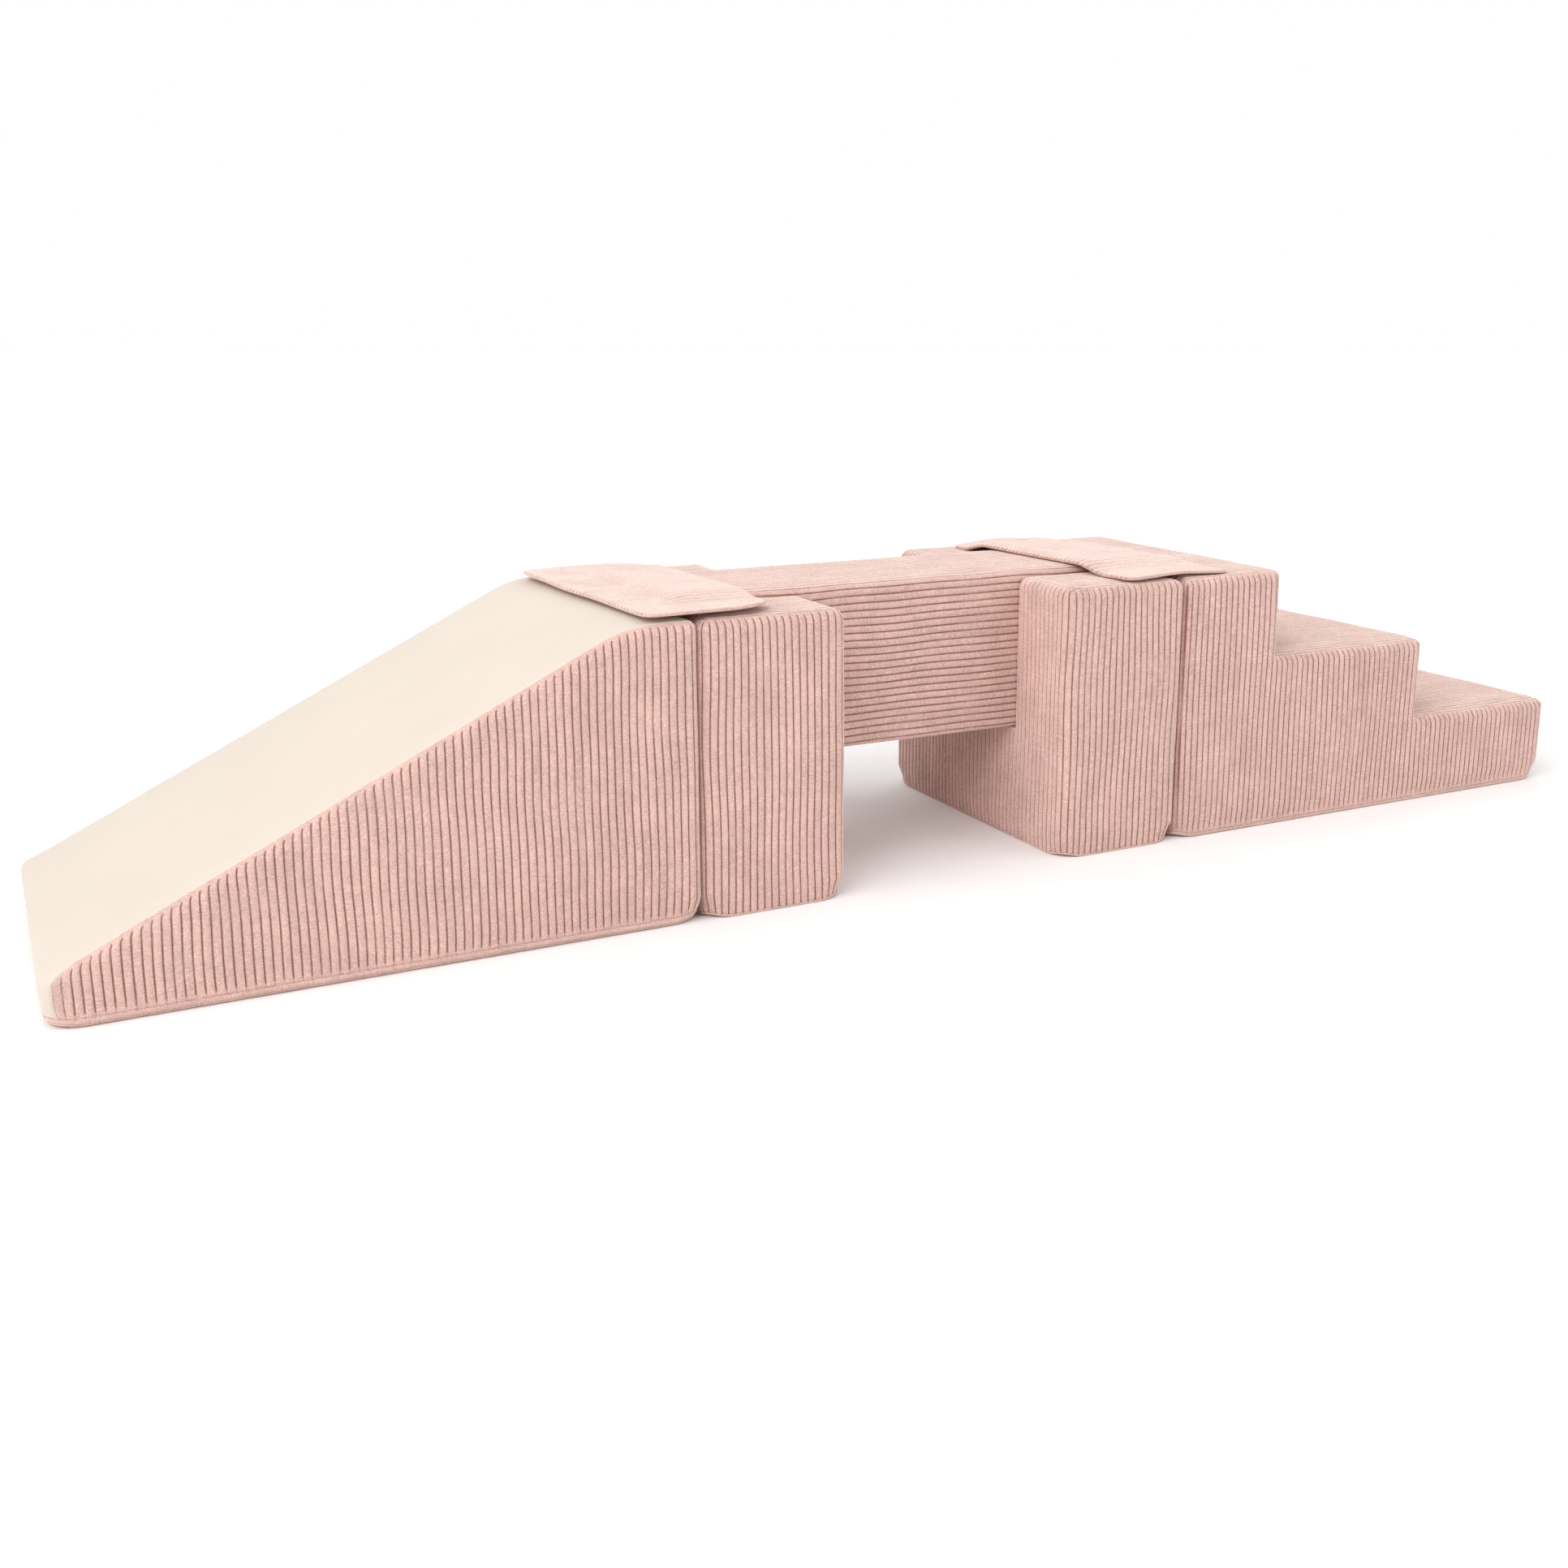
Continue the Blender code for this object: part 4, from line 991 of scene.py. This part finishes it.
def make_slide():
    """The wedge: two ribbed sides that follow its outline and wrap over its top edge, a ribbed back, and one
    cream strip from toe to back, which wraps round the toe onto the sides instead."""
    cover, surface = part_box("slide_cover"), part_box("slide_surface")
    x0, x1 = surface[0].x + SWELL, cover[1].x - FACING_INSET
    y0, y1, high = cover[0].y + SWELL, cover[1].y - SWELL, surface[1].z - SWELL
    corners = [(x0, 0), (x0, TOE_HEIGHT), (x1 - PLATFORM_LENGTH, high), (x1, high), (x1, 0)]
    outline = Outline(corners, (TOE_RADIUS, RAMP_TOP_RADIUS, TOP_RADIUS))
    block = Block(outline, y0, y1, "xzy")
    footprint = (x0, y0), (x1, y1)
    edge = outline.points[1:-1]
    cream_end = outline.middles[2]
    slot = zip_slot("slide_zip")
    floor, toe_seam = SLIDE_BASE_SEAM, x0 + TOE_WRAP
    near, far, end = y0 + SEAM_TURN, y1 - SEAM_TURN, outline.length - floor

    def turned_over(x):
        return smooth_step(x, toe_seam, toe_seam + TOE_TWIST)

    def edge_turn(s):
        """How far over the edge the seam lies at lengths s; less than nothing where the cream comes round."""
        point, outward = outline.at(s)
        wrap = np.clip((toe_seam - point[..., 0]) / np.maximum(-outward[..., 0], 0.2), 0, TOE_WRAP)
        return SEAM_TURN * turned_over(point[..., 0]) - wrap * (s < cream_end)

    def along_edge(s, c):
        """Places c between the two even edges, moved so that the edges follow the seams."""
        share = (c - near) / (far - near)
        return (y0 + edge_turn(s)) * (1 - share) + (y1 - edge_turn(s)) * share

    x = thin_near(rib_places(toe_seam, x1))
    parts = []
    for high_end in (False, True):
        steps, shares, reach = banded_rows(SLOT_BAND if high_end else LOW_BAND, TOP_BAND, SIDE_ROWS)

        def top(a, b, steps=steps, shares=shares, reach=reach):
            height = np.interp(a, edge[:, 0], edge[:, 1]) - floor
            tight = np.minimum(1, height / (reach + BAND_SPARE))
            row = b.astype(int)
            return floor + steps[row] * tight + shares[row] * (height - reach * tight)

        columns = merge(x, (slot[0], slot[2])) if high_end else x
        parts.append(cap_patch(
            block, columns, np.arange(len(steps)), high_end, [[(toe_seam, 0), (toe_seam, 1)]], top=top,
            slot=slot if high_end else None, base=floor, lips=(False, True, True), lip_share=turned_over,
            rib_ends=SLIDE_RIB_ENDS, seed=3 + high_end,
        ))
    s = thin_near(outline.rows(), low=cream_end, high=end)
    seams = [[(outline.length, near), (cream_end, near), (cream_end, far), (outline.length, far)]]
    parts.append(wall_patch(block, s, thin_near(rib_places(near, far)), seams, base=floor, seed=5))
    parts.append(slot_binding(slot, cover[1].y))
    sides = mesh_piece("slide_sides", parts, "corduroy", "slide", ("slide_cover",), footprint)
    s = thin_near(outline.rows(RAMP_STEP), low=floor, high=cream_end)
    y = merge(thin_near(even(near, far)), beside(near, far, ROUND_BAND))
    seams = [[(0, near), (cream_end, near), (cream_end, far), (0, far)]]
    strip = wall_patch(block, s, y, seams, ribbed=False, base=floor, bend=along_edge, seed=6)
    run = mesh_piece("slide_run", [strip], "cream_cloth", "slide", ("slide_surface",), footprint)
    complete("slide", "slide", (sides, run), footprint, floor)


def make_support(prefix, seed):
    """A support block: one ribbed wall wrapped round all four faces, two tops, and a lining in its notch."""
    cover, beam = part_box(prefix + "_cover"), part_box("bridge_cover")
    x0, x1 = cover[0].x + FACING_INSET, cover[1].x - FACING_INSET
    y0, y1, high = cover[0].y + SWELL, cover[1].y - SWELL, cover[1].z - SWELL
    left, right, floor = beam[0].y - NOTCH_GAP, beam[1].y + NOTCH_GAP, beam[0].z - NOTCH_GAP
    middle, base_seam, upper = (left + right) / 2, SUPPORT_BASE_SEAM, high + SEAM_TURN
    outline = Outline([(x1, middle), (x1, y0), (x0, y0), (x0, y1), (x1, y1), (x1, middle)], (UPRIGHT_RADIUS,) * 4)
    block = Block(outline, -1, high, "xyz")
    footprint = (x0, y0), (x1, y1)
    near, far, back, front = (outline.length_at(x, y) for x in (x1, x0) for y in (left, right))
    total = outline.length
    fold = [
        [(0, floor), (near, floor), (near, upper)],
        [(back, upper), (back, floor), (front, floor), (front, upper)],
        [(far, upper), (far, floor), (total, floor)],
    ]
    holes = [(-1, floor, near, 1), (back, floor, front, 1), (far, floor, total + 1, 1)]
    slot = zip_slot(prefix + "_zip")
    ends = sorted(outline.length_at(x, y1) for x in (slot[0], slot[2]))
    slot_s = (ends[0], slot[1], ends[1], slot[3])
    s = merge(thin_near(merge(rib_places(0, total), outline.lengths), (near, back, front, far)), ends)
    z = thin_near(even(base_seam, high), (base_seam, upper, floor), base_seam, upper)
    z = merge(z, slot_rows(slot), [upper - step for step in ROUND_BAND])
    seams = [[(0, upper), (total, upper)], *fold]
    wall = wall_patch(block, s, z, seams, "c", slot=slot_s, holes=holes, fold=fold, base=base_seam, seed=seed)
    parts = [wall, slot_binding(slot, cover[1].y)]
    inset = SEAM_TURN
    x = thin_near(even(x0 + inset, x1 - inset))
    for low_y, high_y, out_y, turned, edge in (
        (y0 + inset, left, y0 + inset, 1, left), (right, y1 - inset, y1 - inset, -1, right),
    ):
        radius = UPRIGHT_RADIUS - inset
        rounds = [((x0 + inset, out_y), (1, turned), radius), ((x1 - inset, out_y), (-1, turned), radius)]
        line = [[(x0, edge), (x1, edge)]]
        y = thin_near(rib_places(low_y, high_y))
        parts.append(cap_patch(block, x, y, True, line, "a", rounds, fold=line, turn=inset, seed=seed + 1))
    notch = Outline([(left, high), (left, floor), (right, floor), (right, high)], (INNER_RADIUS,) * 2)
    lining = Block(notch, x0 - 1, x1 + 1, "yzx", INNER_RADIUS)
    first, last, depth = x0 + INNER_RADIUS, x1 - INNER_RADIUS, notch.length
    s = within(merge(notch.rows(), INNER_RADIUS, depth - INNER_RADIUS), INNER_RADIUS, depth - INNER_RADIUS)
    edges = [[(0, end), (depth, end)] for end in (first, last)]
    parts.append(wall_patch(lining, s, rib_places(first, last), edges, crown=0.0, seed=seed + 2))
    cloth = mesh_piece(prefix + "_cloth", parts, "corduroy", "blocks", (prefix + "_cover",), footprint)
    complete(prefix, "blocks", (cloth,), footprint, base_seam)


def make_bridge():
    """The beam: one ribbed wrap along its length, joined underneath, and two ribbed ends."""
    low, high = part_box("bridge_cover")
    x0, x1 = low.x + SWELL, high.x - SWELL
    y0, y1, z0, z1 = low.y, high.y, low.z, high.z - SWELL
    middle = (y0 + y1) / 2
    outline = Outline([(middle, z0), (y0, z0), (y0, z1), (y1, z1), (y1, z0), (middle, z0)], (TOP_RADIUS,) * 4)
    block = Block(outline, x0, x1, "yzx")
    start, stop = outline.length_at(y0, z1), outline.length_at(y1, z1)
    slot = zip_slot("bridge_zip")
    ends = sorted(outline.length_at(y1, z) for z in (slot[1], slot[3]))
    slot_s = (ends[0], slot[0], ends[1], slot[2])
    s = merge(rib_places(0, outline.length), outline.lengths, ends)
    x = merge(thin_near(even(x0, x1)), slot[0], slot[2], beside(x0, x1, TOP_BAND))
    crown = smooth_step(np.minimum(s - start, stop - s), 0, SWELL_REACH)[:, None]
    seams = [[(0, end), (outline.length, end)] for end in (x0, x1)]
    parts = [wall_patch(block, s, x, seams, "c", crown, slot=slot_s, seed=31), slot_binding(slot, high.y)]
    rounds = [(corner, way, TOP_RADIUS) for corner, way in corners_of((y0, z0), (y1, z1))]
    y = thin_near(rib_places(y0, y1))
    z = merge(thin_near(even(z0, z1)), beside(z0, z1, TOP_BAND))
    for high_end in (False, True):
        parts.append(cap_patch(block, y, z, high_end, [outline.points], "b", rounds, seed=32))
    cloth = mesh_piece("bridge_cloth", parts, "corduroy", "bridge", ("bridge_cover",))
    complete("bridge", "bridge", (cloth,))


def make_stairs():
    """The steps: two ribbed sides, and one ribbed band that runs up the back and down over every tread."""
    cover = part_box("stairs_cover")
    x0, x1 = cover[0].x + FACING_INSET, cover[1].x - SWELL
    y0, y1, high = cover[0].y + SWELL, cover[1].y - SWELL, cover[1].z - SWELL
    xa, xb = x0 + TREAD_LENGTHS[0], x0 + TREAD_LENGTHS[0] + TREAD_LENGTHS[1]
    h2, h1 = TREAD_HEIGHTS
    corners = [(x0, 0), (x0, high), (xa, high), (xa, h2), (xb, h2), (xb, h1), (x1, h1), (x1, 0)]
    radii = (TOP_RADIUS, NOSE_RADIUS, INNER_RADIUS, NOSE_RADIUS, INNER_RADIUS, NOSE_RADIUS)
    outline = Outline(corners, radii)
    block = Block(outline, y0, y1, "xzy")
    footprint = (x0, y0), (x1, y1)
    slot, floor, ribs_x = zip_slot("stairs_zip"), STAIRS_BASE_SEAM, rib_places(x0, x1)
    pitch = (x1 - x0) / round((x1 - x0) / RIB_PITCH)
    parts = []
    for high_end in (False, True):
        for left, right, top, next_top in ((x0, xa, high, h2), (xa, xb, h2, h1), (xb, x1, h1, 0)):
            x = merge(ribs_x, left, right, slot[0], slot[2], left + SLOT_MARGIN, right - SLOT_MARGIN)
            z = thin_near(even(floor, top), (floor, next_top or floor))
            z = merge(z, [top - step for step in TOP_BAND], slot_rows(slot))
            rounds = [((right, top), (-1, -1), NOSE_RADIUS)]
            hollows = [((right, next_top), (1, 1), INNER_RADIUS)] if next_top else []
            if left == x0:
                rounds.append(((left, top), (1, -1), TOP_RADIUS))
            else:
                hollows.append(((left, top), (1, 1), INNER_RADIUS))
            parts.append(cap_patch(
                block, within(x, left, right), z, high_end, (), "b", rounds, hollows,
                slot=slot if high_end else None, base=floor, lips=(left == x0, True, True),
                side_lip_from=next_top, rib_from=x0, rib_pitch=pitch, seed=41 + high_end,
            ))
    parts.append(slot_binding(slot, cover[1].y))
    sides = mesh_piece("stairs_sides", parts, "corduroy", "stairs", ("stairs_cover",), footprint)
    near, far = y0 + SEAM_TURN, y1 - SEAM_TURN
    s = thin_near(outline.rows(), low=floor, high=outline.length - floor)
    seams = [[(0, edge), (outline.length, edge)] for edge in (near, far)]
    band = wall_patch(block, s, thin_near(rib_places(near, far)), seams, base=floor, seed=43)
    band = mesh_piece("stairs_band", [band], "corduroy", "stairs", ("stairs_cover",), footprint)
    complete("stairs", "stairs", (sides, band), footprint, floor)


def make_flap(prefix, covers, side, seed, rests_on, outer, inner, offset, shift, turn_degrees, end_droop, curl,
              inner_radius):
    """A joining flap over the gap between two covers, with its reaches out and in from the gap. Its middle
    surface steps up from the end module onto the bridge and droops at its inner edge, each face lies half a
    thickness from it by a quarter ellipse at the edge, and the upper face has flat ribs with open ends. Its
    ends droop at their corners, and inner_radius rounds the two inner ones."""
    beam, outer_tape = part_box("bridge_cover"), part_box(prefix + "_outer_hook_tape")
    inner_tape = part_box(prefix + "_inner_hook_tape")
    seam = (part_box(covers[0])[1].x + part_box(covers[1])[0].x) / 2 + shift
    low_under, high_under = outer_tape[1].z + FLAP_TAPE_GAP, inner_tape[1].z + FLAP_TAPE_GAP
    middle_y, half_beam = (beam[0].y + beam[1].y) / 2, (beam[1].y - beam[0].y) / 2
    centre, half_reach, half_length = (inner - outer) / 2, (inner + outer) / 2, FLAP_LENGTH / 2
    reach, y = thin_near(even(-outer, inner, FLAP_STEP)), thin_near(rib_places(-half_length, half_length))
    reach, y = np.meshgrid(reach, y, indexing="ij")
    rounding = np.where(reach > centre, inner_radius, FLAP_CORNER_RADIUS)
    for corner, way in corners_of((-outer, -half_length), (inner, half_length)):
        radius = FLAP_CORNER_RADIUS if way[0] > 0 else inner_radius
        reach, y = squeeze_corner(reach, y, corner, way, radius)
    over_r = np.abs(reach - centre) - half_reach + rounding
    over_y = np.abs(y) - half_length + rounding
    outside = np.hypot(np.maximum(over_r, 0), np.maximum(over_y, 0)) + np.minimum(np.maximum(over_r, over_y), 0)
    edge = np.maximum(rounding - outside, 0)
    off_beam = np.abs(y + offset) - half_beam
    on_beam = 1 - smooth_step(off_beam, 0, FLAP_SHOULDER)
    flat = np.stack([reach, y, 0 * reach], axis=-1)
    under = low_under + (high_under - low_under) * smooth_step(reach, *FLAP_RISE) * on_beam
    under += curl * (1 - smooth_step(np.hypot(inner - reach, y + half_length), 0, FLAP_CURL_LENGTH))
    tape_reach = max(side * (inner_tape[end].x - seam) for end in (0, 1)) + FLAP_TAPE_MARGIN
    droop = min(high_under - beam[1].z - FLAP_BEAM_GAP, FLAP_DROOP_SLOPE * (inner - tape_reach))
    under -= droop * smooth_step(reach, tape_reach, inner) * on_beam
    to_corners = 1 - (1 - FLAP_MIDDLE_DROOP) * np.sin(math.pi * (reach + outer) / (inner + outer)) ** 2
    under -= end_droop * smooth_step(off_beam, *FLAP_END) * to_corners
    free = smooth_step(np.abs(y + offset), half_beam + FLAP_FREE, half_length)
    under += FLAP_WAVE * (0.5 + 0.5 * ripple(flat, FLAP_WAVE_SCALE, seed)) * (FLAP_STILL + (1 - FLAP_STILL) * free)
    middle = under + FLAP_THICKNESS / 2
    round_off = np.sqrt(1 - (1 - np.clip(edge / FLAP_EDGE_RADIUS, 0, 1)) ** 2)
    half = FLAP_THICKNESS / 2 * round_off
    slope_r, slope_y = np.gradient(middle, reach[:, 0], axis=0), np.gradient(middle, y[0], axis=1)
    normal = np.stack([-side * np.clip(slope_r, -1, 1), -np.clip(slope_y, -1, 1), np.ones_like(slope_r)], axis=-1)
    normal /= np.linalg.norm(normal, axis=-1, keepdims=True)
    local = np.stack([side * (reach - inner), y, middle], axis=-1)
    for axis in (0, 1):
        local[..., axis] += FLAP_WOBBLE * ripple(flat, FLAP_WAVE_SCALE, seed + 3 + axis)
    wander = RIB_WANDER * ripple(flat, RIB_WANDER_SCALE, seed + 1)
    rib = rib_profile(y + half_length + wander, FLAP_LENGTH / round(FLAP_LENGTH / RIB_PITCH))
    groove = (1 - rib) * smooth_step(half_length - np.abs(y), 0.0, FLAP_RIB_ENDS[0])
    worn = np.clip(0.55 + 0.45 * ripple(flat, FLAP_WORN_SCALE, seed + 2), FLAP_LEAST_WORN, 1)
    open_end = 1 - smooth_step(np.minimum(reach + outer, inner - reach), *FLAP_RIB_ENDS)
    up = half - RIB_HEIGHT * groove * round_off * (FLAP_GROOVE * worn + FLAP_END_GROOVE * open_end)
    turn = math.radians(turn_degrees)
    hinge = np.array((seam + side * inner, middle_y + offset, 0))
    spin = np.array(((math.cos(turn), math.sin(turn), 0), (-math.sin(turn), math.cos(turn), 0), (0, 0, 1)))
    patches = []
    cloth = np.stack([y, reach], axis=-1)
    # Painted shade in the grooves of the upper face, darkest at their open ends, and a little on the lining
    # underneath
    ribbed_shade = 1 - groove * (FLAP_GROOVE_SHADE + (1 - FLAP_GROOVE_SHADE) * open_end)
    for way, lift, shade in ((1, up, ribbed_shade), (-1, half, np.full(rib.shape, LINING_SHADE))):
        face = (local + way * normal * lift[..., None]) @ spin + hinge
        patches.append(Patch(face, way * (normal @ spin), cloth, shade))
    piece = mesh_piece(prefix + "_cloth", patches, "corduroy", prefix, (prefix,))


def finish_nodes():
    """Give each CAD node that still shows its finish."""
    loop, hook, metal = tape("loop_tape", LOOP_COLOUR, 1500), tape("hook_tape", HOOK_COLOUR, 2600), zip_metal()
    looks = {"_loop_tape": loop, "_hook_tape": hook, "_slider": metal, "_pull": metal}
    for name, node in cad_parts.items():
        for ending, look in looks.items():
            if name.endswith(ending):
                for slot in node.material_slots:
                    slot.material = look


def make_stage():
    """A pale floor, a white backdrop dome that only the camera sees, soft far lights, and a dimmer surround."""
    turn = np.linspace(0, 2 * math.pi, STAGE_STEPS + 1)
    around, out = np.meshgrid(turn, np.array((0, 0.1, 1)) * FLOOR_REACH, indexing="ij")
    flat = np.stack([out * np.cos(around), out * np.sin(around), 0 * out], axis=-1)
    stage_piece("floor", flat, facing(flat, 2), Finish("floor", FLOOR_COLOUR, 0.9))
    rise = np.radians(np.linspace(DOME_LOW_DEGREES, 90, DOME_STEPS + 1))
    around, rise = np.meshgrid(turn, rise, indexing="ij")
    dome = np.stack([np.cos(around) * np.cos(rise), np.sin(around) * np.cos(rise), np.sin(rise)], axis=-1)
    finish = Finish("backdrop", (0, 0, 0, 1), 1.0)
    finish.set(Emission_Color=(1, 1, 1, 1), Emission_Strength=1.0, Specular_IOR_Level=0.0)
    backdrop = stage_piece("backdrop", dome * FLOOR_REACH * 0.99, -dome, finish)
    for ray in ("diffuse", "glossy", "transmission", "volume_scatter", "shadow"):
        setattr(backdrop, "visible_" + ray, False)
    world = bpy.data.worlds.new("surround")
    world.use_nodes = True
    world.node_tree.nodes["Background"].inputs["Color"].default_value = (1, 1, 1, 1)
    world.node_tree.nodes["Background"].inputs["Strength"].default_value = SURROUND
    bpy.context.scene.world = world
    for name, way, softness, strength in LAMPS:
        lamp = bpy.data.lights.new(name, "SUN")
        lamp.angle, lamp.energy = math.radians(softness), strength
        hang(lamp, Vector(way) * 3, Vector(way))
    lamp = bpy.data.lights.new("near_light", "AREA")
    lamp.shape, lamp.size, lamp.energy = "DISK", NEAR_LAMP_SIZE, NEAR_LAMP_POWER
    hang(lamp, Vector(NEAR_LAMP_PLACE), Vector(NEAR_LAMP_PLACE) - Vector(NEAR_LAMP_AIM))


def hang(lamp, place, way):
    """Put a lamp at a place, shining against a way."""
    holder = link(lamp.name, lamp)
    holder.location = place
    holder.rotation_euler = way.to_track_quat("Z", "Y").to_euler()


def stage_piece(name, place, normal, finish):
    """A part of the stage from a grid of places."""
    mesh = bpy.data.meshes.new(name)
    faces = Patch(place, normal, place[..., :2], place[..., 2]).faces()
    mesh.from_pydata(place.reshape(-1, 3).tolist(), [], faces.tolist())
    mesh.materials.append(finish.material)
    mesh.shade_smooth()
    piece = link(name, mesh)
    return piece


def make_camera():
    """The camera, from the yaw, pitch and focal length that fit the picture's corners."""
    yaw, pitch = math.radians(CAMERA_YAW_DEGREES), math.radians(CAMERA_PITCH_DEGREES)
    ahead = Vector((math.sin(yaw) * math.cos(pitch), math.cos(yaw) * math.cos(pitch), -math.sin(pitch)))
    right = Vector((math.cos(yaw), -math.sin(yaw), 0))
    up = right.cross(ahead)
    data = bpy.data.cameras.new("camera")
    data.sensor_width = SENSOR_WIDTH
    data.lens = FOCAL_PIXELS / IMAGE_SIZE * SENSOR_WIDTH
    data.shift_x, data.shift_y = -SHIFT_PIXELS[0] / IMAGE_SIZE, SHIFT_PIXELS[1] / IMAGE_SIZE
    camera = link("camera", data)
    camera.matrix_world = Matrix((
        (right.x, up.x, -ahead.x, CAMERA_PLACE[0]), (right.y, up.y, -ahead.y, CAMERA_PLACE[1]),
        (right.z, up.z, -ahead.z, CAMERA_PLACE[2]), (0, 0, 0, 1),
    ))
    bpy.context.scene.camera = camera


LOOKS = {"corduroy": corduroy(), "cream_cloth": cream_cloth(), "zip_cloth": zip_cloth(), "foam": foam()}
LOOKS["base_cloth"] = LOOKS["corduroy"]
make_slide()
make_support("left_block", 11)
make_support("right_block", 21)
make_bridge()
make_stairs()
make_flap("left_flap", ("slide_cover", "left_block_cover"), 1, 51, ["slide_run", "bridge_cloth"], **LEFT_FLAP)
make_flap("right_flap", ("right_block_cover", "stairs_cover"), -1, 61, ["stairs_band", "bridge_cloth"], **RIGHT_FLAP)
finish_nodes()
make_stage()
make_camera()
bpy.context.scene.view_settings.view_transform = "Standard"
bpy.context.view_layer.update()
